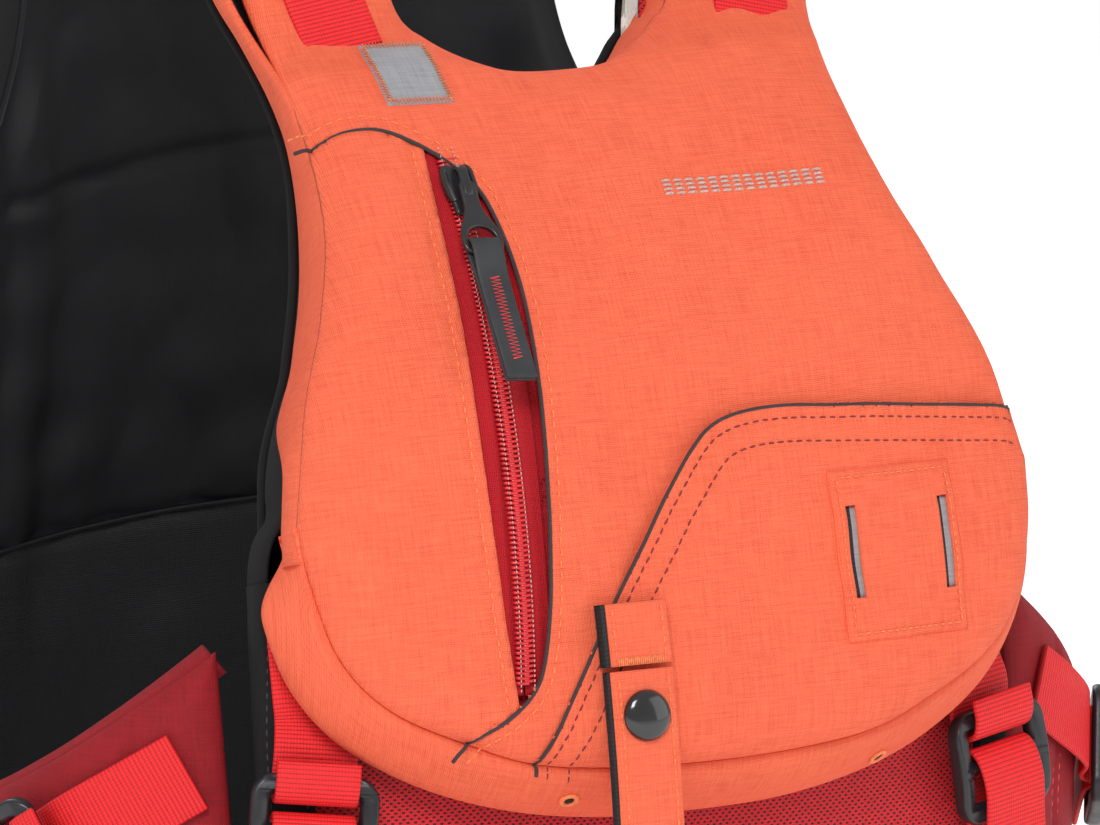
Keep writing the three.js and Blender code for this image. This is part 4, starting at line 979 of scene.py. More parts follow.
def build_marks():
    """A plain light patch on the yoke and a plain sewn bar where the real garment carries its marks."""
    nx, nz = 45, 33
    X, Z = np.meshgrid(np.linspace(-63, -41, nx), np.linspace(354, 370, nz))
    s, h = seen(X, Z)
    edge = np.minimum(np.minimum(X + 63, -41 - X), np.minimum(Z - 354, 370 - Z))
    depth = face_depth(X, Z, "main") + 0.8 * roll(edge, 1.2)
    o = outward(s, h)
    part = solid_sheet(skin(s, h) + o * depth[..., None], skin(s, h) + o * (depth - 1.4)[..., None],
        np.stack([X, Z], -1))
    patch = make("yoke_patch", part, [GREY_CLOTH], nodes=("reflective_patch",), slot="reflective")
    cloth_sheet(patch)
    corners = np.array([(-62.2, 354.8), (-41.8, 354.8), (-41.8, 369.2), (-62.2, 369.2), (-62.2, 354.8)])
    rows = []
    for a, b in zip(corners[:-1], corners[1:]):
        c, out = along_face(np.stack([a, b]), "main", 1.15, 0.5)
        side, _ = frames(c, out)
        run = lengths(c)
        at = np.arange(0, run[-1], 0.55)
        zig = np.stack([np.interp(at, run, c[:, k]) for k in range(3)], 1)
        sway = np.stack([np.interp(at, run, side[:, k]) for k in range(3)], 1)
        zig = zig + sway * (0.9 * (-1.0) ** np.arange(len(at)))[:, None]
        rows.append(tube(zig, np.stack([np.interp(at, run, out[:, k]) for k in range(3)], 1), 0.22,
            count=5))
    make("yoke_patch_stitch", joined(*rows), [LIGHT_THREAD], slot="orange_fabric")
    bar = []
    for k in range(4):
        line = np.array([(14.0, 326.6 + 1.1 * k), (69.0, 325.9 + 1.1 * k)])
        c, out = along_face(line, "main", 0.1)
        bar.append(beads(c, out, 3.4, 0.5, 0.5))
    make("sewn_bar", joined(*bar), [PALE_THREAD], slot="reflective")


def edge_wrap(name, line, high, low, material, bulge=2.0, thick=1.2, flip=1, slot=None, rows=16, lip=1.5,
        columns=0, slant=None):
    """Cloth that folds round an open edge of a padded panel, from its outer face to its lining."""
    line = resampled(np.asarray(line, float),
        columns or max(20, int(lengths(np.asarray(line, float))[-1] / 2)))
    d = unit(np.gradient(line, axis=0))
    away = np.stack([d[:, 1], -d[:, 0]], 1) * flip
    a = np.linspace(0, 1, rows)[:, None]
    full = np.sin(np.pi * a) ** 0.6
    offset = -lip * (1 - full) + bulge * full + 0.35 * ripple(line[:, 0], line[:, 1] + 9 * a, 30, 5) * full
    if slant is not None:
        offset = offset - a * slant(line[:, 1])[None]
    s = line[None, :, 0] + away[None, :, 0] * offset
    h = line[None, :, 1] + away[None, :, 1] * offset
    top = high(h) if callable(high) else high + 0 * h
    bottom = low(h) if callable(low) else low + 0 * h
    depth = top + (bottom - top) * a
    p = place(s, h, depth)
    n = grid_normals(p)
    sign = np.sign(np.sum(n * (place(s + away[None, :, 0], h + away[None, :, 1], depth) - p),
        axis=-1).mean())
    uv = np.stack([np.broadcast_to(lengths(line)[None], s.shape), -depth], -1)
    part = solid_sheet(p, p - n * sign * thick, uv)
    return make(name, part, [material], slot=slot)


def liner_piping(name, line, flip, radius=1.5, depth=1.2, material=None, body_slot="black_fabric"):
    line = resampled(np.asarray(line, float), max(20, int(lengths(np.asarray(line, float))[-1] / 1.5)))
    d = unit(np.gradient(line, axis=0))
    away = np.stack([d[:, 1], -d[:, 0]], 1) * flip
    q = line + away * 0.8
    centre = place(q[:, 0], q[:, 1], depth + 0 * q[:, 0])
    return make(name, tube(centre, outward(q[:, 0], q[:, 1]), radius, count=8), [material or STRETCH],
        slot=body_slot)


def arm_slant(h):
    """How far the armhole's wall leans in towards the chest on its way down to the lining."""
    h = np.asarray(h, float)
    return 4.0 * smooth(245, 275, h) + 9.0 * np.exp(-(((h - 348) / 34) ** 2))


def build_face_wraps():
    """The orange cloth runs round the armholes and the neckline to the lining."""
    for name, side in (("left", 1), ("right", -1)):
        xz = arm_right(np.linspace(0, 1, 90)) * [side, 1]
        line = np.stack(seen(xz[:, 0], xz[:, 1]), 1)
        extra = line[:1] + [0.0, -9.0]
        line = np.concatenate([extra, line])
        flip = 1 if side > 0 else -1
        low = lambda h: 2.5 + (shield_in(h) - 0.5) * smooth(262, 240, h)
        edge_wrap("arm_edge_" + name, line, lambda h: face_out(h) - 4.6, low, ORANGE, 2.2, flip=flip,
            slot="orange_fabric", slant=arm_slant)
        pulled = line - [1, 0] * arm_slant(line[:, 1])[:, None] * side
        liner_piping("arm_liner_" + name, pulled[2:], flip)
    xz = spline(neck, np.linspace(0, 1, 120))
    line = np.stack(seen(xz[:, 0], xz[:, 1]), 1)
    edge_wrap("neck_edge", line, lambda h: face_out(h) - 4.6, 2.5, ORANGE, 1.8, flip=-1,
        slot="orange_fabric")
    liner_piping("neck_liner", line, -1)


build_shield()
build_face_wraps()
build_shield_foam()
build_gusset()
build_face_trim()
build_lash_patch()
build_marks()


# ---------- generic panels on the chart ----------
def panel(edges, low, high, columns, rows, radius=6.0, puff=None, side=1, thick=None, material=0,
        under=None):
    """A layer between four edges of the chart, with rounded rims; thick makes it a skin."""
    u, v = edged(columns), edged(rows)
    sz = coons(*edges, u, v)
    s, h = sz[..., 0], sz[..., 1]
    size_u = np.linalg.norm(np.diff(sz, axis=1), axis=-1).sum(1)[:, None]
    size_v = np.linalg.norm(np.diff(sz, axis=0), axis=-1).sum(0)[None]
    edge = np.minimum(np.minimum(u, 1 - u)[None] * size_u, np.minimum(v, 1 - v)[:, None] * size_v)
    soft = roll(edge, radius)
    out = outward(side * s, h)
    base = skin(side * s, h)
    high = high(h) if callable(high) else high + 0 * h
    low = low(h) if callable(low) else low + 0 * h
    lift = puff(s, h, edge) if puff else 0.0
    top_d = high - (high - low) * 0.42 * (1 - soft) + lift * soft
    bottom_d = top_d - thick if thick else low + (high - low) * 0.3 * (1 - soft)
    uv = np.stack([side * s, h * 1.03], -1)
    return solid_sheet(base + out * top_d[..., None], base + out * bottom_d[..., None], uv,
        material=material, under=under)


ARM_S = np.stack(seen(*(arm_left(np.linspace(0, 1, 24)) * [-1, 1]).T), -1)
ARM_S[-1] = (YOKE_S, YOKE_TOP)
NECK_S = np.stack(seen(*NECKLINE.T), -1)
NECK_S[-1] = (NECK_CORNER_S, YOKE_TOP)
BASE_HALF = 123.0


def base_edges(inset, drop):
    half = BASE_HALF - inset
    arm = ARM_S[1:] - [inset, drop]
    arm[:, 0] -= arm_slant(arm[:, 1])
    right = np.concatenate([[(half, 6.0), (half, 70.0), (half - 7, 130.0), (half - 10, 215.0)], arm])
    neck_line = np.concatenate([mirror(NECK_S), NECK_S[1:]])
    neck_line[:, 0] += YOKE_SWAY * smooth(361, 392, neck_line[:, 1]) * (neck_line[:, 0] > 0)
    neck_line[:, 1] -= 3.0
    neck_line = neck_line - [0, drop]
    top_edge = np.concatenate([[(-right[-1][0], right[-1][1])], neck_line, [right[-1]]])
    return track([(-half, 6.0), (half, 6.0)]), track(top_edge, False), track(right * [-1, 1]), track(right)


def build_front():
    inner = base_edges(10.5, 4.0)
    foam = make("front_foam", panel(inner, FOAM_IN, front_foam_out, 34, 40, 8), [FOAM],
        nodes=("front_foam_core",), slot="foam")

    def puff(s, h, edge):
        crease = -1.2 * np.exp(-(((h - 96) / 2.2) ** 2)) - 1.0 * np.exp(-(((h - 28) / 2.0) ** 2))
        return (1.6 * smooth(150, 120, h) + 0.5 * ripple(s, h, 50, 21) * smooth(160, 140,
            h) + crease) * smooth(0, 12, edge)

    front = make("front_mesh_cloth",
        panel(base_edges(9.0, 3.0), front_shell_out, front_shell_out, 120, 130, 5, puff, thick=1.2),
        [MESH], nodes=("front_outer_shell",), slot="red_fabric")
    cloth_sheet(front)
    lining = make("front_lining", panel(base_edges(0.0, 0.0), 0.0, 2.0, 40, 44, 1.2), [LINING],
        nodes=("front_liner",), slot="black_lining")
    cloth_sheet(lining)

    # black stretch edges beside the shield, and the hem
    for name, side in (("left", 1), ("right", -1)):
        z = np.linspace(6.0, 216.0, 120)
        a = np.linspace(-np.pi / 2, np.pi / 2, 13)
        outer_d = front_shell_out(100.0) + 1.0
        section = [(110.5, outer_d - 1.6), (110.8, outer_d - 0.3), (112.5, outer_d + 0.2), (118, outer_d)]
        section += [(121.5 + 3.6 * math.cos(t) * 0.9,
            outer_d - 5.5 + 5.5 * math.sin(t)) for t in a[::-1]][:7]
        section += [(125.0, 14.0), (124.6, 8.0), (124.0, 3.5), (122.5, 0.8), (119.0, -0.4), (112.0, -0.6),
            (111.5, 0.9), (119.0, 1.2), (121.8, 3.5), (122.4, 8.0), (122.6, 14.0),
            (122.0, outer_d - 4.5), (118.5, outer_d - 1.8)]
        section = np.array(section)
        sway = 7 * smooth(60, 130, z) + 3 * smooth(165, 214, z)
        s = section[None, :, 0] - sway[:, None]
        wave = 0.5 * ripple(z, z * 0, 26, 31 + side)[:, None]
        p = place(side * (s + wave), np.broadcast_to(z[:, None], s.shape),
            np.broadcast_to(section[None, :, 1], s.shape))
        faces = section_faces(len(z), len(section))
        run = lengths(section)
        uv = np.stack(np.broadcast_arrays(run[None, :], z[:, None]), -1).reshape(-1, 2)
        make("front_edge_" + name, (p.reshape(-1, 3), faces, uv, [0] * len(faces)), [STRETCH],
            nodes=("front_binding_" + name,), slot="black_fabric")
        rows = []
        for s0, d0 in ((113.0, outer_d + 0.25), (121.8, outer_d - 0.25)):
            z2 = np.linspace(10.0, 212.0, 150)
            s2 = side * (s0 - 7 * smooth(60, 130, z2) - 3 * smooth(165, 214, z2))
            rows.append(beads(place(s2, z2, d0 + 0 * z2), outward(s2, z2), 2.6, 1.0, 0.26))
        make("front_edge_stitch_" + name, joined(*rows), [BLACK_THREAD], slot="black_fabric")
    for name, side in (("left", 1), ("right", -1)):
        line = base_edges(0.0, 0.0)[3](np.linspace(0, 1, 400))
        line = line[(line[:, 1] > 196) & (line[:, 1] < 268)] * [side, 1]
        edge_wrap("front_arm_edge_" + name, line, lambda h: front_shell_out(h) - 0.5, 0.5, STRETCH, 1.6,
            flip=side, slot="black_fabric")
    build_hem("front_hem_cloth", 0.0, BASE_HALF, front_shell_out(2.0), "front_hem")


def section_faces(rows, count):
    """Faces of a closed section carried along a line, with both ends capped."""
    i = np.arange(rows * count).reshape(rows, count)
    ahead = np.roll(i, -1, 1)
    walls = np.stack([i[:-1], ahead[:-1], ahead[1:], i[1:]], -1).reshape(-1, 4).tolist()
    return walls + [i[0][::-1].tolist(), i[-1].tolist()]


def build_hem(name, middle, half, depth, node):
    s = np.linspace(middle - half, middle + half, 160)
    a = np.linspace(0, np.pi, 9)
    r = depth / 2
    section = [(r + (r + 0.4) * math.cos(t), 4.2 - 4.0 * math.sin(t)) for t in a]
    section = [(depth + 0.4, 8.0)] + section + [(-0.4, 8.0), (0.6, 8.2), (depth - 0.6, 8.2)]
    section = np.array(section)
    d, z = section[:, 0], section[:, 1]
    S, D = np.meshgrid(s, d, indexing="ij")
    Z = np.broadcast_to(z, S.shape)
    p = place(S, Z, D)
    faces = section_faces(len(s), len(section))
    uv = np.stack(np.broadcast_arrays(S, lengths(section)[None, :]), -1).reshape(-1, 2)
    make(name, (p.reshape(-1, 3), faces, uv, [0] * len(faces)), [STRETCH], nodes=(node,),
        slot="black_fabric")
    line = place(s, 7.0 + 0 * s, depth + 0.45 + 0 * s)
    make(name + "_stitch", beads(line, outward(s, 7.0 + 0 * s), 2.8, 1.0, 0.26), [BLACK_THREAD],
        slot="black_fabric")


# ---------- sides ----------
SIDE_FRONT, SIDE_BACK = BASE_HALF + 2.5, BACK - 156 - 2.5


def side_edges(inset):
    front, back_s, low = SIDE_FRONT + inset, SIDE_BACK - inset, 1 + inset
    top_edge = np.array([(front, 198), (150, 180), (172, 165), (195, 153), (216, 148), (245, 152),
        (280, 178), (back_s, 200)], float) - [0, inset]
    return track([(front, low), (back_s, low)]), track(top_edge), track([(front, low),
        top_edge[0]]), track([(back_s, low), top_edge[-1]])


def build_sides():
    def puff(s, h, edge):
        seam_dent = -1.3 * np.exp(-(((s - 148) / 1.6) ** 2)) - 1.3 * np.exp(-(((s - 262) / 1.6) ** 2))
        return (1.5 + 0.9 * ripple(s, h, 55, 41) + 0.4 * ripple(s, h, 20, 43) + seam_dent) * smooth(0, 10,
            edge)

    for name, side in (("left", 1), ("right", -1)):
        foam = make("side_pad_" + name,
            panel(side_edges(4.0), FOAM_IN, SIDE_FOAM_OUT, 40, 24, 6, side=side), [FOAM],
            nodes=("side_foam_" + name,), slot="foam")
        shell = make("side_cloth_" + name,
            panel(side_edges(-0.5), SIDE_OUT - 8, SIDE_OUT, 130, 90, 7, puff, side, thick=1.2),
            [CRIMSON], nodes=("side_shell_" + name,), slot="red_fabric")
        cloth_sheet(shell)
        lining = make("side_lining_" + name, panel(side_edges(0.0), 0.0, 2.0, 40, 24, 1.2, side=side),
            [LINING], nodes=("side_liner_" + name,), slot="black_lining")
        cloth_sheet(lining)
        # the top edge is closed by a folded strip
        u = np.linspace(0.004, 0.996, 160)
        sz = side_edges(0.0)[1](u)
        s, h = sz[:, 0], sz[:, 1]
        a = np.linspace(0, np.pi, 9)
        mid, r = (SIDE_OUT - 3) / 2, (SIDE_OUT - 3) / 2
        section = [(mid + r * math.cos(t), -0.5 + 4.2 * math.sin(t)) for t in a] + [(0.6, -6.0),
            (1.6, -6.0), (2.0, -1.5), (SIDE_OUT - 6.5, -1.5), (SIDE_OUT - 5.5, -6.0),
            (SIDE_OUT - 4.0, -6.0)]
        section = np.array(section)
        tangent = unit(np.gradient(sz, axis=0))
        rise = np.stack([-tangent[:, 1], tangent[:, 0]], 1)
        S = s[:, None] + rise[:, :1] * section[None, :, 1]
        H = h[:, None] + rise[:, 1:] * section[None, :, 1]
        p = place(side * S, H, np.broadcast_to(section[None, :, 0], S.shape))
        faces = section_faces(len(u), len(section))
        uv = np.stack(np.broadcast_arrays(lengths(sz)[:, None], lengths(section)[None, :]),
            -1).reshape(-1, 2)
        make("side_top_edge_" + name, (p.reshape(-1, 3), faces, uv, [0] * len(faces)), [CRIMSON],
            slot="red_fabric")
        rows = []
        for s0 in (148, 262):
            for shift in (-2.2, 2.2):
                z = np.linspace(8, 172, 120)
                d = SIDE_OUT + 0.9 + 0.9 * ripple(s0 + 0 * z, z, 55, 41)
                rows.append(beads(place(side * (s0 + shift), z, d), outward(side * s0 + 0 * z, z), 2.6,
                    0.9, 0.24))
        make("side_seam_stitch_" + name, joined(*rows), [RED_THREAD], slot="red_fabric")


# ---------- back ----------
def back_edges(inset, drop):
    right = np.array([(156, 6), (156, 120), (155, 205), (138, 250), (117, 290), (99, 330), (92, 360),
        (93, 395), (100, 425)], float)
    right = right - np.stack([np.full(9, inset), np.where(np.arange(9) > 0, drop, 0)], 1)
    neck_line = np.array([(-50, 425), (-39, 408), (-3, 396), (33, 408), (43, 425)], float) - [0, drop]
    neck_line[:, 0] -= np.sign(neck_line[:, 0]) * inset * -0.5
    curve = spline(neck_line, np.linspace(0, 1, 60))
    top_edge = np.concatenate([[(-right[-1][0], right[-1][1])], curve, [right[-1]]])
    about = lambda p: np.asarray(p, float) + [BACK, 0]
    return track(about([(-156 + inset, 6), (156 - inset, 6)])), track(about(top_edge),
        False), track(about(right * [-1, 1])), track(about(right))


LINING_SEAM, LINING_PANEL = 303.0, 192.0


def build_back():
    foam = make("back_foam", panel(back_edges(4.0, 4.0), FOAM_IN, back_foam_out, 40, 44, 8), [FOAM],
        nodes=("back_foam_core",), slot="foam")

    def puff(s, h, edge):
        t = s - BACK
        channels = -1.8 * sum(np.exp(-(((h - z) / 2.4) ** 2)) for z in (118, 232)) * (np.abs(t) < 150)
        spine = -1.2 * np.exp(-((t / 2.2) ** 2)) * smooth(232, 240, h)
        return (2.6 + 1.0 * ripple(s, h, 60, 51) + 0.4 * ripple(s, h, 22,
            53) + channels + spine) * smooth(0, 14, edge)

    shell = make("back_cloth", panel(back_edges(-0.5, 0.0), lambda h: back_shell_out(h) - 8,
        back_shell_out, 170, 160, 9, puff,
        thick=1.2), [CRIMSON], nodes=("back_outer_shell",), slot="red_fabric")
    cloth_sheet(shell)

    # the lining faces the wearer: soft folds, a curved seam and a lower panel with a piped edge
    u, v = edged(150), edged(150)
    sz = coons(*back_edges(0.0, 0.0), u, v)
    s, h = sz[..., 0], sz[..., 1]
    t = s - BACK
    fold = 3.4 * np.maximum(0, ripple(t * 0.6 + h * 0.8, h * 0.25 - t, 48, 61, 9)) + 1.0 * ripple(t, h,
        30, 63)
    gather = 3.2 * smooth(50, 110, np.abs(t)) * np.sin(t / 4.6 + 1.6 * np.sin(h / 37)) * smooth(130, 190, h)
    seam_h = LINING_SEAM + 9 * np.cos(t / 50)
    panel_h = LINING_PANEL + 8 * np.cos(t / 70)
    valley = -2.2 * np.exp(-(((h - seam_h) / 3.0) ** 2)) - 1.6 * np.exp(-(((h - panel_h) / 2.2) ** 2))
    edge = np.minimum(np.minimum(u, 1 - u)[None] * 290, np.minimum(v, 1 - v)[:, None] * 400)
    calm = np.where(h < panel_h, 0.45, 1.0)
    depth = -(1.2 + (np.maximum(-0.5, fold * calm + gather * calm + 2.4 + valley)) * smooth(0, 14, edge))
    out = outward(s, h)
    base = skin(s, h)
    uv = np.stack([t, h], -1)
    q = grid_quads(*s.shape)
    low_half = h.ravel()[q].mean(1) < panel_h.ravel()[q].mean(1)
    p, f, tex, _ = solid_sheet(base + out * 2.0, base + out * depth[..., None], uv, q)
    n = len(q)
    kinds = [0] * n + np.where(low_half, 1, 0).tolist() + [0] * (len(f) - 2 * n)
    lining = make("back_lining", (p, f, tex, kinds), [LINING, LINING_DOTS], nodes=("back_liner",),
        slot="black_lining")
    cloth_sheet(lining)
    tt = np.linspace(-150, 150, 200)
    hh = LINING_PANEL + 8 * np.cos(tt / 70)
    centre = place(BACK + tt, hh, -3.6 + 0.6 * ripple(tt, hh, 40, 3))
    make("lining_piping", tube(centre, -outward(BACK + tt, hh), 0.9), [LINING], slot="black_lining")
    build_hem("back_hem_cloth", BACK, 156.0, back_shell_out(2.0), "back_hem")

    right = np.array([(155, 205), (138, 250), (117, 290), (99, 330), (92, 360), (93, 395), (100, 425)],
        float)
    right = track(right)(np.linspace(0, 1, 120))
    for name, side in (("left", -1), ("right", 1)):
        line = right * [side, 1] + [BACK, 0]
        edge_wrap("back_arm_edge_" + name, line, lambda h: back_shell_out(h) + 0.3, 0.5, STRETCH, 2.0,
            flip=side, slot="black_fabric")
    neck_line = track(np.array([(-50, 425), (-39, 408), (-3, 396), (33, 408), (43, 425)],
        float))(np.linspace(0, 1, 90)) + [BACK, 0]
    edge_wrap("back_neck_edge", neck_line, lambda h: back_shell_out(h) + 0.5, 0.5, STRETCH, 1.6, flip=-1,
        slot="black_fabric")

    loop = [(-28, 1.6), (-24, 2.2), (-20, 4.2), (-14, 9), (-7, 12), (0, 13), (7, 12), (14, 9), (20, 4.2),
        (24, 2.2), (28, 1.6)]
    pts = np.array([place(BACK + a, 372.0, back_shell_out(372.0) + r + 1.5) for a, r in loop])
    nrm = np.array([outward(BACK + a, 372.0) for a, r in loop])
    strap("haul_loop_webbing", pts, nrm, 20, 1.8, BLACK_STRAP, nodes=("haul_loop",), slot="black_fabric")
    tacks = []
    for a in (-25.0, 25.0):
        for k in range(7):
            z = np.linspace(363.5, 380.5, 12)
            c = place(BACK + a - 2.4 + 0.8 * k, z, back_shell_out(372.0) + 4.6)
            tacks.append(beads(c, outward(BACK + a + 0 * z, z), 2.2, 0.3, 0.3, phase=0.6 * (k % 2)))
    make("haul_loop_tacks", joined(*tacks), [BLACK_THREAD], slot="black_fabric")


# ---------- straps and buckles ----------
def strap(name, points, normals, width, thick, material, body="jacket", nodes=(), slot=None, count=10):
    centre, out = path3(points, 1.3, normals)
    side, up = frames(centre, unit(out))
    part = sweep(centre, side, up, oval(width, thick, count))
    return make(name, part, [material], body, nodes, slot)


def station(s, z, d, tilt=0.0):
    out = outward(s, z)
    side = unit(skin(s + 1, z) - skin(s - 1, z))
    up = np.cross(out, side)
    c, k = math.cos(tilt), math.sin(tilt)
    m = np.eye(4)
    m[:3, 0], m[:3, 1], m[:3, 2], m[:3, 3] = side * c + up * k, up * c - side * k, out, place(s, z, d)
    return m


def lock_station(at, out, towards, rise):
    up = towards - at
    up = unit(up - out * (up @ out))
    m = np.eye(4)
    m[:3, 0], m[:3, 1], m[:3, 2], m[:3, 3] = np.cross(up, out), up, out, at + out * rise
    return m


def to_world(m, points):
    return np.asarray(points, float) @ m[:3, :3].T + m[:3, 3]


def to_world_dir(m, v):
    return np.asarray(v, float) @ m[:3, :3].T


def rounded_rect(width, height, radius, centre=(0, 0), count=6):
    x, y = width / 2 - radius, height / 2 - radius
    pts = []
    for k, (cx, cy) in enumerate(((x, -y), (x, y), (-x, y), (-x, -y))):
        for t in np.linspace(-np.pi / 2, 0, count) + k * np.pi / 2:
            pts.append((centre[0] + cx + radius * math.cos(t), centre[1] + cy + radius * math.sin(t)))
    return np.array(pts)


def plate(outlines, thick, bevel=0.6, resolution=3):
    """A flat moulded plate with rounded rims from closed outlines, the holes among them."""
    data = bpy.data.curves.new("plate", "CURVE")
    data.dimensions, data.fill_mode = "2D", "BOTH"
    data.extrude, data.bevel_depth, data.bevel_resolution, data.offset = max(thick / 2 - bevel,
        0.01), bevel, resolution, -bevel
    for outline in outlines:
        line = data.splines.new("POLY")
        line.points.add(len(outline) - 1)
        line.points.foreach_set("co", np.column_stack([outline, np.zeros(len(outline)),
            np.ones(len(outline))]).ravel())
        line.use_cyclic_u = True
    holder = bpy.data.objects.new("plate", data)
    mesh = bpy.data.meshes.new_from_object(holder)

    bm = bmesh.new()
    bm.from_mesh(mesh)
    bmesh.ops.remove_doubles(bm, verts=bm.verts, dist=0.004)
    bmesh.ops.recalc_face_normals(bm, faces=bm.faces)
    points = np.array([v.co for v in bm.verts])
    faces = [[v.index for v in f.verts] for f in bm.faces]
    bm.free()
    bpy.data.objects.remove(holder)
    bpy.data.curves.remove(data)
    bpy.data.meshes.remove(mesh)
    return points, faces, points[:, :2].copy(), [0] * len(faces)


LOCK_WIDTH, LOCK_LENGTH, LOCK_THICK, LOCK_SLOT, LOCK_MID_BAR = 38.0, 34.0, 3.4, 9.0, 4.0
LOOP_RADIUS, TOP_BAR_Y = 5.2, 17.0 - 3.0
LOCK_RISE = LOOP_RADIUS + 1.6 + 1


def ladder_lock():
    """A moulded ladder-lock frame: deep curved side rails, a broad lower bar and two slots."""
    outline = []
    for x, y in rounded_rect(LOCK_WIDTH, LOCK_LENGTH, 6.5, count=9):
        outline.append((x + 0.9 * math.copysign(1, x) * (1 - (y / 17.0) ** 2) - 0.6 * math.copysign(1, x),
            y))
    slots = [rounded_rect(27.0, LOCK_SLOT, 2.2, (0, k * (LOCK_SLOT + LOCK_MID_BAR) / 2)) for k in (-1, 1)]
    # more points along the straights, so that the frame can be curved
    dense = lambda o: np.concatenate([np.linspace(a, b, max(2, int(np.linalg.norm(b - a) / 1.5)),
        endpoint=False) for a, b in zip(o, np.roll(o, -1, 0))])
    p, f, uv, k = plate([dense(np.array(outline)), *[dense(s) for s in slots]], LOCK_THICK, 1.1, 4)
    rail = smooth(12.5, 16.0, np.abs(p[:, 0]))
    y = p[:, 1] / 17.0
    p[:, 2] = p[:, 2] * (1 + 0.75 * rail * (1 - 0.6 * y**2)) + rail * 1.3 * (1 - y**2)
    p[:, 2] += 0.5 * smooth(-11, -16, p[:, 1]) * (1 - rail)
    return p, f, uv, k


def strap_into(name, lead, lead_normals, m, **more):
    local = [(0, TOP_BAR_Y + 9, -LOOP_RADIUS + 1), (0, TOP_BAR_Y, -LOOP_RADIUS),
        (0, TOP_BAR_Y - 3.9, -3.4), (0, TOP_BAR_Y - LOOP_RADIUS, 0), (0, TOP_BAR_Y - 3.9, 3.4),
        (0, TOP_BAR_Y, LOOP_RADIUS), (0, TOP_BAR_Y + 7, LOOP_RADIUS - 0.2)]
    normals = [(0, 0, 1), (0, 0, 1), (0, 0.7, 0.7), (0, 1, 0), (0, 0.7, -0.7), (0, 0, -1), (0, 0, -1)]
    points = np.concatenate([lead, to_world(m, local)])
    normals = np.concatenate([lead_normals, to_world_dir(m, normals)])
    return strap(name, points, normals, 25.0, 1.7, STRAP, slot="red_webbing", **more)


def strap_tail(name, m, rear, front, body, nodes):
    local = [(0, -rear, -3.7), (0, -20, -3.6), (0, -5, -3.3), (0, 2.5, -2.4), (0, 4.9, 0.3),
        (0, 2.5, 3.6), (0, -6, 6.0), (0, -18, 4.6), (0, -30, 3.6), (0, -front, 4.0)]
    normals = [(0, 0, -1), (0, 0, -1), (0, 0, -1), (0, 0.5, -1), (0, 1, 0), (0, 0.5, 1), (0, 0, 1),
        (0, 0, 1), (0, 0, 1), (0, 0, 1)]
    return strap(name, to_world(m, local), to_world_dir(m, normals), 25.0, 1.7, STRAP, body, nodes,
        "red_webbing")


def build_straps():
    for name, side in (("left", 1), ("right", -1)):
        s = side * 106.0
        m = station(s, 149.0, front_shell_out(149.0) + LOCK_RISE, side * 0.09)
        route = [(s - side * 4, z, shield_in(z) - STRAP_SPACE / 2) for z in (210.0, 196.0, 186.0, 179.0)]
        lead = np.array([place(a, z, d) for a, z, d in route])
        normals = np.array([outward(a, z) for a, z, d in route])
        strap_into("front_webbing_" + name, lead, normals, m, nodes=("front_strap_" + name,))
        body = "front_buckle_" + name
        make("front_lock_" + name, moved(ladder_lock(), m), [PLASTIC], body, (body,), "black_plastic", 40)
        strap_tail("front_tail_webbing_" + name, m, 34, 62, body, ("front_tail_" + name,))

        m = station(side * 176.0, 137.0, SIDE_OUT + LOCK_RISE, side * 1.02)
        route = [(BASE_HALF + 11, 166.0, SIDE_OUT + 2.6), (145.0, 159.0, SIDE_OUT + 3.6)]
        lead = np.array([place(side * a, z, d) for a, z, d in route])
        normals = np.array([outward(side * a, z) for a, z, d in route])
        strap_into("side_webbing_" + name, lead, normals, m, nodes=("side_strap_" + name,))
        body = "side_buckle_" + name
        make("side_lock_" + name, moved(ladder_lock(), m), [PLASTIC], body, (body,), "black_plastic", 40)
        strap_tail("side_tail_webbing_" + name, m, 30, 60, body, ("side_tail_" + name,))
        a = np.linspace(214, SIDE_BACK - 2, 10)
        pts = np.array([place(side * k, 113 - (k - 214) * 0.45, SIDE_OUT + 3.2) for k in a])
        nrm = np.array([outward(side * k, 113 - (k - 214) * 0.45) for k in a])
        strap("side_anchor_webbing_" + name, pts, nrm, 25, 1.7, STRAP, nodes=("side_anchor_" + name,),
            slot="red_webbing")


def build_belt():
    step = lambda s: smooth(BASE_HALF + 3, BASE_HALF + 32, abs(s))
    depth = lambda s: 3.4 + front_shell_out(52.0) + step(s) * (SIDE_OUT - front_shell_out(52.0))
    for name, stops in (("belt_left", np.linspace(39, 185, 16)),
        ("belt_right", np.linspace(-24, -185, 16))):
        pts = np.array([place(s, 52.0, depth(s)) for s in stops])
        nrm = np.array([outward(s, 52.0) for s in stops])
        strap(name + "_webbing", pts, nrm, 25, 1.7, STRAP, nodes=(name,), slot="red_webbing")
    stops = np.linspace(-23, -100, 9)
    pts = np.array([place(s, 52.0, front_shell_out(52.0) + 6.0) for s in stops])
    nrm = np.array([outward(s, 52.0) for s in stops])
    strap("belt_tail_webbing", pts, nrm, 25, 1.7, STRAP, "clasp_plug", ("belt_tail",), "red_webbing")
    for node in ("clasp_socket", "clasp_plug"):
        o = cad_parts[node]
        for k in range(max(1, len(o.material_slots))):
            if o.material_slots:
                o.material_slots[k].link = "OBJECT"
                o.material_slots[k].material = PLASTIC
        b = o.modifiers.new("soft_edges", "BEVEL")
        b.width, b.segments, b.limit_method = 0.0009, 3, "ANGLE"


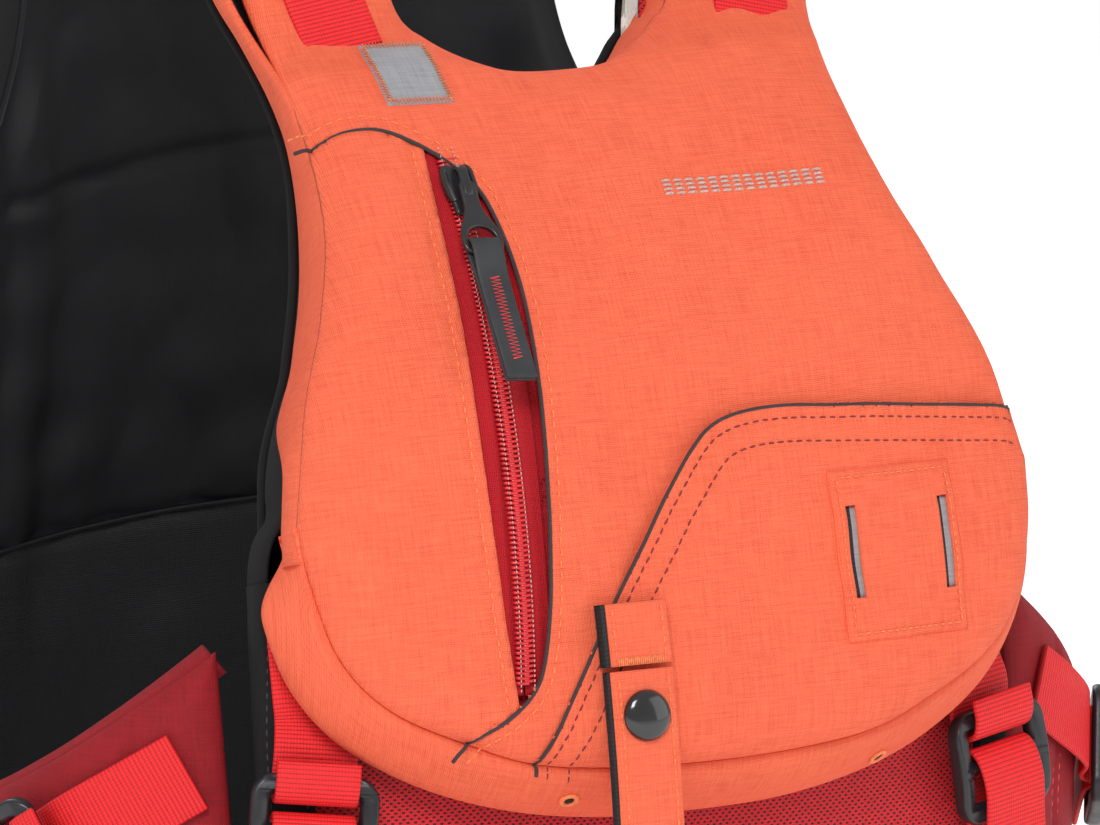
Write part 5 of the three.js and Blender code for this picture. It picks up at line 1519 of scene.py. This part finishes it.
# ---------- shoulders ----------
def shoulder_path(side, rise):
    at = (98.0 + 45.0) / 2
    front = place(at, 403.0, 11)
    rear = place(BACK - 73, 430.0, 11)
    top_z, pad = 502.0, 11.0
    points = np.array([front, front + (2, 4, 18), (82, 4, 462), (88, 22, top_z - 12),
        (90, 50, top_z - pad / 2), (88, 84, top_z - 12), (80, 108, 468), rear + (2, 0, 16), rear], float)
    normals = points - (80, 50, 400)
    normals[:, 0] = 0
    normals = unit(normals)
    normals[0], normals[8] = outward(at, YOKE_TOP), outward(BACK - 73, 425.0)
    if side > 0:
        points[:3, 0] += np.array([1.0, 0.9, 0.6]) * YOKE_SWAY
    raised = points + normals * rise
    return raised * [side, 1, 1], normals * [side, 1, 1]


def build_shoulders():
    for name, side in (("left", 1), ("right", -1)):
        pts, nrm = shoulder_path(side, 0.5)
        pts[0] -= (pts[1] - pts[0]) * 0.45
        pts[-1] = pts[-1] + (pts[-1] - pts[-2]) * 0.75
        centre, out = path3(pts, 2.0, nrm)
        across, up = frames(centre, unit(out))
        run = lengths(centre)
        t = run / run[-1]
        width = 53 + 3 * smooth(0.12, 0.0, t)
        n = 36
        a = np.linspace(0, 2 * np.pi, n, endpoint=False)
        shape = np.stack([np.sign(np.cos(a)) * np.abs(np.cos(a)) ** 0.55,
            np.sign(np.sin(a)) * np.abs(np.sin(a)) ** 0.75], 1)
        swell = 12.5 + 0.7 * ripple(run, run * 0, 30, 71)
        sections = shape[None] * np.stack([width / 2, swell / 2], 1)[:, None]
        p, f, uv, _ = sweep(centre, across, up, sections)
        high = (shape[:, 1] > -0.35).astype(int)
        kinds = np.tile(1 - high, len(t) - 1).tolist() + [0, 0]
        pad = make("shoulder_cushion_" + name, (p, f, uv, kinds), [ORANGE, LINING],
            nodes=("shoulder_pad_" + name,), slot="orange_fabric")
        rows = []
        for x in (-21.5, 21.5):
            c = centre + across * x + up * (swell / 2 - 0.55)[:, None]
            rows.append(beads(c[6:-6], up[6:-6], 2.6, 0.9, 0.28))
        make("shoulder_stitch_" + name, joined(*rows), [LIGHT_THREAD], slot="orange_fabric")

        over, over_n = shoulder_path(side, 5.5 + 0.8 + 2.4)
        m = lock_station(over[7].copy(), over_n[7], over[6].copy(), 5.6)
        lead_s, lead_h = seen(side * np.array([66.5, 68.0, 69.5,
            70.0]) + (side > 0) * YOKE_SWAY * np.array([0.4, 0.6, 0.9, 1.0]), np.array([369.0, 378.0,
            388.0, 397.0]))
        lead = place(lead_s, lead_h, face_out(lead_h) + np.array([0.6, 2.4, 2.8, 3.2]))
        lead_n = outward(lead_s, lead_h)
        strap_into("shoulder_strap_" + name, np.concatenate([lead, over[1:7]]),
            np.concatenate([lead_n, over_n[1:7]]), m, nodes=("shoulder_webbing_" + name,))
        body = "shoulder_buckle_" + name
        make("shoulder_lock_" + name, moved(ladder_lock(), m), [PLASTIC], body, (body,), "black_plastic",
            40)


# ---------- zip ----------
ZIP_BOTTOM_Z, ZIP_TOP_Z, ZIP_LOW_X, ZIP_HIGH_X = 196.0, 340.0, -60.0, -51.5


def zip_point(z):
    x = ZIP_LOW_X + (ZIP_HIGH_X - ZIP_LOW_X) * (z - ZIP_BOTTOM_Z) / (ZIP_TOP_Z - ZIP_BOTTOM_Z)
    s, h = seen(x, z)
    return place(s, h, face_out(h))


A, B, C = zip_point(ZIP_BOTTOM_Z), zip_point((ZIP_BOTTOM_Z + ZIP_TOP_Z) / 2), zip_point(ZIP_TOP_Z)
ZIP_AXIS = np.cross(B - A, C - A)
TO_MIDDLE, TO_TOP = B - A, C - A
ZIP_CENTRE = A + (np.cross(ZIP_AXIS, TO_MIDDLE) * (TO_TOP @ TO_TOP) + np.cross(TO_TOP,
    ZIP_AXIS) * (TO_MIDDLE @ TO_MIDDLE)) / (2 * (ZIP_AXIS @ ZIP_AXIS))
ZIP_AXIS = unit(ZIP_AXIS)
ZIP_RADIUS = float(np.linalg.norm(A - ZIP_CENTRE))
ZIP_UP0 = unit(C - ZIP_CENTRE)
ACROSS = ZIP_AXIS if ZIP_AXIS[0] > 0 else -ZIP_AXIS
ZIP_TURN = math.acos(float(ZIP_UP0 @ unit(A - ZIP_CENTRE)))


def zip_out(turn):
    """Outwards at an angle down from the zip's top."""
    turn = np.asarray(turn, float)[..., None]
    down = -np.cross(ZIP_UP0, ACROSS)
    return ZIP_UP0 * np.cos(turn) + down * np.sin(turn)


def zip_station(turn, rise):
    out = zip_out(turn)
    m = np.eye(4)
    m[:3, 0], m[:3, 1], m[:3, 2], m[:3, 3] = ACROSS, np.cross(out,
        ACROSS), out, ZIP_CENTRE + out * (ZIP_RADIUS + rise)
    return m


def build_zip():
    turns = np.linspace(-0.012, ZIP_TURN + 0.01, 130)
    out = zip_out(turns)
    for name, x0, x1, node in (("right", -9.6, -0.35, "zip_tape_right"),
        ("left", 0.35, 9.6, "zip_tape_left")):
        xs = np.linspace(x0, x1, 14)
        rise = 1.7 + 0.4 * np.exp(-(((np.abs(xs) - 3.6) / 0.8) ** 2)) - 1.2 * smooth(4.5, 8.5, np.abs(xs))
        spot = ZIP_CENTRE + out[:, None] * ZIP_RADIUS + ACROSS * xs[None, :, None]
        tape_s, tape_h = seen(spot[..., 0], spot[..., 2])
        grid = place(tape_s, tape_h, face_out(tape_h) + rise[None])
        uv = np.stack(np.broadcast_arrays(xs[None, :], (turns * ZIP_RADIUS)[:, None]), -1)
        part = solid_sheet(grid, grid - out[:, None] * 0.7, uv)
        tape = make("zip_tape_cloth_" + name, part, [TAPE], nodes=(node,), slot="zip_tape")
        cloth_sheet(tape)
    pitch = 1.45
    teeth, threads = [], []
    for t in np.arange(0.004, ZIP_TURN - 0.002, pitch / ZIP_RADIUS):
        for side, lag in ((1, 0.0), (-1, pitch / 2)):
            a = t + lag / ZIP_RADIUS
            o = zip_out(a)
            along = np.cross(o, ACROSS)
            c = ZIP_CENTRE + o * (ZIP_RADIUS + 3.0)
            path = np.stack([c + ACROSS * side * x + o * y + along * w for x, y,
                w in ((-0.9, -0.35, 0), (-0.4, 0.15, 0), (1.2, 0.25, 0), (2.6, 0.1, 0.15),
                (3.2, -0.7, 0.3))])
            teeth.append(tube(path, np.repeat([o], 5, 0), np.array(0.52), count=6, flat=0.9))
    # pale dashes along both edges of the coil: partly the thread that holds it, partly painted highlight on
    # the teeth
    for x in (-2.2, 2.2):
        c = ZIP_CENTRE + out * (ZIP_RADIUS + 3.75) + ACROSS * x
        threads.append(beads(c, out, 0.9, 0.55, 0.2))
    make("zip_coil_teeth", joined(*teeth), [COIL], nodes=("zip_chain",), slot="zip_chain")
    make("zip_coil_thread_and_highlight", joined(*threads), [PALE_THREAD], slot="zip_tape")

    turn = (17.0 / 2 + 4.5) / ZIP_RADIUS
    m = zip_station(turn, 4.3)
    wing = np.array([(-3.2, 8.5), (0, 7.6), (3.2, 8.5), (5.0, 7.2), (5.5, 3.0), (5.0, -1.5), (3.9, -5.0),
        (3.6, -8.0), (2.6, -8.5), (-2.6, -8.5), (-3.6, -8.0), (-3.9, -5.0), (-5.0, -1.5), (-5.5, 3.0),
        (-5.0, 7.2)], float)
    wing = spline(np.concatenate([wing, wing[:1]]), np.linspace(0, 1, 90))[:-1]
    top_plate = moved(plate([wing], 2.0, 0.7, 3),
        np.array([[1, 0, 0, 0], [0, 1, 0, 0], [0, 0, 1, 1.2], [0, 0, 0, 1.0]]))
    arch = [(0, 6.6, 1.6), (0, 6.4, 3.4), (0, 4.6, 4.9), (0, 0.5, 5.2), (0, -3.6, 5.0), (0, -5.8, 3.8),
        (0, -6.3, 2.0)]
    c, n = path3(arch, 0.6, [(0, 1, 0.2), (0, 1, 0.3), (0, 0.3, 1), (0, 0, 1), (0, -0.3, 1), (0, -1, 0.3),
        (0, -1, 0.1)])
    side, up = frames(c, unit(n))
    bail = sweep(c, side, up, oval(3.2, 1.5, 4))
    lips = [tube(np.array([(x, 6.5, 1.9), (x * 1.04, 1.0, 2.3), (x * 0.8, -4.5, 2.1)]) ,
        np.array([(0, 0, 1.0)] * 3), 0.8, count=8) for x in (-4.3, 4.3)]
    make("zip_slider_body", moved(joined(top_plate, bail, *lips), m), [ZIP_METAL], "zip_slider",
        ("zip_slider",), "zip_metal", 40)

    m = zip_station(turn, 4.3 + 2.4 + 2.4)
    eye = -19.5
    outline = np.array([(-2.5, -1.0), (-2.6, -5.0), (-2.9, -9.0), (-4.6, -13.0), (-6.2, -16.5),
        (-6.6, -20.0), (-6.1, -22.6), (-4.0, -23.9), (0, -24.1), (4.0, -23.9), (6.1, -22.6),
        (6.6, -20.0), (6.2, -16.5), (4.6, -13.0), (2.9, -9.0), (2.6, -5.0), (2.5, -1.0), (1.8, 0.4),
        (0, 0.9), (-1.8, 0.4)], float)
    outline = spline(np.concatenate([outline, outline[:1]]), np.linspace(0, 1, 120))[:-1]
    window = spline(np.array([(-4.7, -19.5), (-4.3, -17.6), (-2.6, -15.8), (0, -15.2), (2.6, -15.8),
        (4.3, -17.6), (4.7, -19.5), (4.3, -21.6), (2.6, -22.0), (-2.6, -22.0), (-4.3, -21.6),
        (-4.7, -19.5)], float), np.linspace(0, 1, 70))[:-1]
    slot_hole = rounded_rect(2.4, 3.2, 1.0, (0, -2.6))
    tab = plate([outline, window, slot_hole], 1.8, 0.55, 3)
    make("zip_pull", moved(tab, m), [ZIP_METAL], "zip_pull_tab", ("zip_pull_tab",), "zip_metal", 40)

    end = eye - 47.0
    loop = [(0, end, -1.2), (0, end + 12, -1.2), (0, eye - 12, -1.3), (0, eye - 6, -1.9),
        (0, eye - 2.5, -2.0), (0, eye - 0.4, -1.2), (0, eye + 0.1, 0), (0, eye - 0.4, 1.2),
        (0, eye - 2.5, 2.0), (0, eye - 6, 1.7), (0, eye - 12, 0.5), (0, end + 12, 0.3), (0, end, 0.3)]
    away = [(0, 0, -1)] * 5 + [(0, 0.7, -0.7), (0, 1, 0), (0, 0.7, 0.7)] + [(0, 0, 1)] * 5
    strap("zip_pull_ribbon", to_world(m, loop), to_world_dir(m, away), 10.0, 1.1, RUBBER,
        "zip_pull_strip", ("zip_pull_strip",), "pull_strip", 8)
    y = np.arange(eye - 13.0, end + 6.0, -0.62)
    zig = np.stack([1.5 * (-1.0) ** np.arange(len(y)), y, 0.95 + 0 * y], 1)
    zig_world = to_world(m, zig)
    make("zip_pull_stitch", tube(zig_world, to_world_dir(m, np.repeat([(0, 0, 1.0)], len(y), 0)), 0.26,
        count=6), [RED_THREAD], "zip_pull_strip", slot="pull_strip")


# ---------- snap tab ----------
SNAP_X, SNAP_Z = -25.0, 186.0


def tab_depth(z):
    return over_out(z) + 3.2


def tab_points(heights):
    heights = np.asarray(heights, float)
    s, h = seen(SNAP_X + 0 * heights, heights, tab_depth)
    return place(s, h, tab_depth(h)), outward(s, h)


def build_snap_tab():
    fixed, n = tab_points([218.5, 214, 209, 204, 200.6])
    strap("snap_loop_cloth", fixed, n, 21, 2.6, ORANGE, nodes=("snap_tab_loop",), slot="orange_fabric")
    free, m = tab_points([199.2, 196, 192, 186, 178, 170, 162, 154, 146, 138])
    strap("snap_tab_cloth", free, m, 21, 2.6, ORANGE, "snap_tab", ("snap_tab",), "orange_fabric")
    # black webbing edge that shows behind the tab's right side
    c, o = path3(fixed, 1.2, n)
    side, up = frames(c, unit(o))
    strip = sweep(c, side, up, np.array(oval(1.6, 3.4, 3)) + (-11.0 if side[0, 0] > 0 else 11.0, -0.6))
    make("snap_loop_edge", strip, [BLACK_STRAP], slot="black_fabric")
    c2, o2 = path3(free, 1.2, m)
    side2, up2 = frames(c2, unit(o2))
    strip2 = sweep(c2, side2, up2, np.array(oval(1.4, 2.6, 3)) + (-10.9 if side2[0, 0] > 0 else 10.9, -0.9))
    make("snap_tab_edge", strip2, [BLACK_STRAP], "snap_tab", slot="black_fabric")
    rows, moving = [], []
    for x in (-8.0, 8.0):
        rows.append(beads((c + side * x + up * 1.35)[1:-1], up[1:-1], 2.2, 0.8, 0.27))
        moving.append(beads((c2 + side2 * x + up2 * 1.35)[2:-2], up2[2:-2], 2.2, 0.8, 0.27))
    bar = []
    for k in range(24):
        x = -7.5 + 15 * k / 23
        mid = c[-2] + side[-2] * x + up[-2] * 1.45
        along = unit(c[-1] - c[-3])
        path = np.stack([mid - along * 1.1 + side[-2] * 0.1, mid + up[-2] * 0.15, mid + along * 1.1])
        bar.append(tube(path, np.repeat([up[-2]], 3, 0), 0.3, count=5))
    make("snap_loop_stitch", joined(*rows, *bar), [LIGHT_THREAD], slot="orange_fabric")
    make("snap_tab_stitch", joined(*moving), [LIGHT_THREAD], "snap_tab", slot="orange_fabric")
    s, h = seen(SNAP_X, SNAP_Z, tab_depth)
    o = outward(s, h)
    sd = unit(skin(s + 1, h) - skin(s - 1, h))
    f = np.eye(4)
    f[:3, 0], f[:3, 1], f[:3, 2], f[:3, 3] = sd, np.cross(o, sd), o, place(s, h, tab_depth(h) + 1.2)
    r = 7.6
    dome = [(0, 0), (r - 0.8, 0), (r - 0.1, 0.25), (r, 0.7),
        (r - 0.25, 1.15)] + [(r * math.cos(t) * 0.955,
        1.15 + 2.5 * math.sin(t)) for t in np.linspace(0.12, 1.45, 12)] + [(0, 3.66)]
    make("snap_dome", moved(lathe(dome, 56), f), [SNAP], "snap_tab", ("snap_cap",), "snap_black", 60)
    f = f.copy()
    f[:3, 3] = place(s, h, over_out(h) + 0.2)
    stud = [(0, 0), (5.6, 0), (5.6, 0.5), (3.2, 0.7), (2.9, 1.3), (2.4, 1.5), (0, 1.5)]
    make("snap_stud_ring", moved(lathe(stud, 36), f), [STEEL], nodes=("snap_stud",), slot="steel",
        facets=40)


build_front()
build_sides()
build_back()
build_straps()
build_belt()
build_shoulders()
build_zip()
build_snap_tab()


# ---------- camera, light and floor ----------
def build_stage():
    scene = bpy.context.scene
    mesh = bpy.data.meshes.new("floor")
    mesh.from_pydata([(-9, -9, -0.0005), (9, -9, -0.0005), (9, 9, -0.0005), (-9, 9, -0.0005)], [],
        [(0, 1, 2, 3)])
    floor = bpy.data.objects.new("floor", mesh)
    scene.collection.objects.link(floor)
    pale = bpy.data.materials.new("floor_paint")
    pale.use_nodes = True
    shader = pale.node_tree.nodes["Principled BSDF"]
    shader.inputs["Base Color"].default_value = (0.8, 0.8, 0.8, 1)
    shader.inputs["Emission Color"].default_value = (1, 1, 1, 1)
    shader.inputs["Emission Strength"].default_value = 0.5
    shader.inputs["Roughness"].default_value = 0.9
    mesh.materials.append(pale)

    world = bpy.data.worlds.new("studio")
    scene.world = world
    world.use_nodes = True
    back = world.node_tree.nodes["Background"]
    back.inputs["Color"].default_value = (1, 1, 1, 1)
    back.inputs["Strength"].default_value = 0.5

    aim = Vector((-0.040, -0.131, 0.272))
    for name, where, size, power in (
        ("key", (-0.9, -1.5, 1.7), 0.8, 30),
        ("fill", (1.4, -1.2, 0.8), 1.4, 7),
        ("rim", (0.3, 1.6, 1.5), 1.2, 12),
    ):
        lamp = bpy.data.lights.new(name, "AREA")
        lamp.size, lamp.energy = size, power
        o = bpy.data.objects.new(name, lamp)
        o.location = where
        o.rotation_euler = (aim - Vector(where)).to_track_quat("-Z", "Y").to_euler()
        scene.collection.objects.link(o)

    look = Vector((0.446, 0.876, -0.182)).normalized()
    data = bpy.data.cameras.new("camera")
    data.sensor_width, data.lens = 36, 447.5
    camera = bpy.data.objects.new("camera", data)
    camera.location = aim - look * 4.0
    camera.rotation_euler = look.to_track_quat("-Z", "Y").to_euler()
    scene.collection.objects.link(camera)
    scene.camera = camera
    scene.view_settings.view_transform = "Standard"


build_stage()
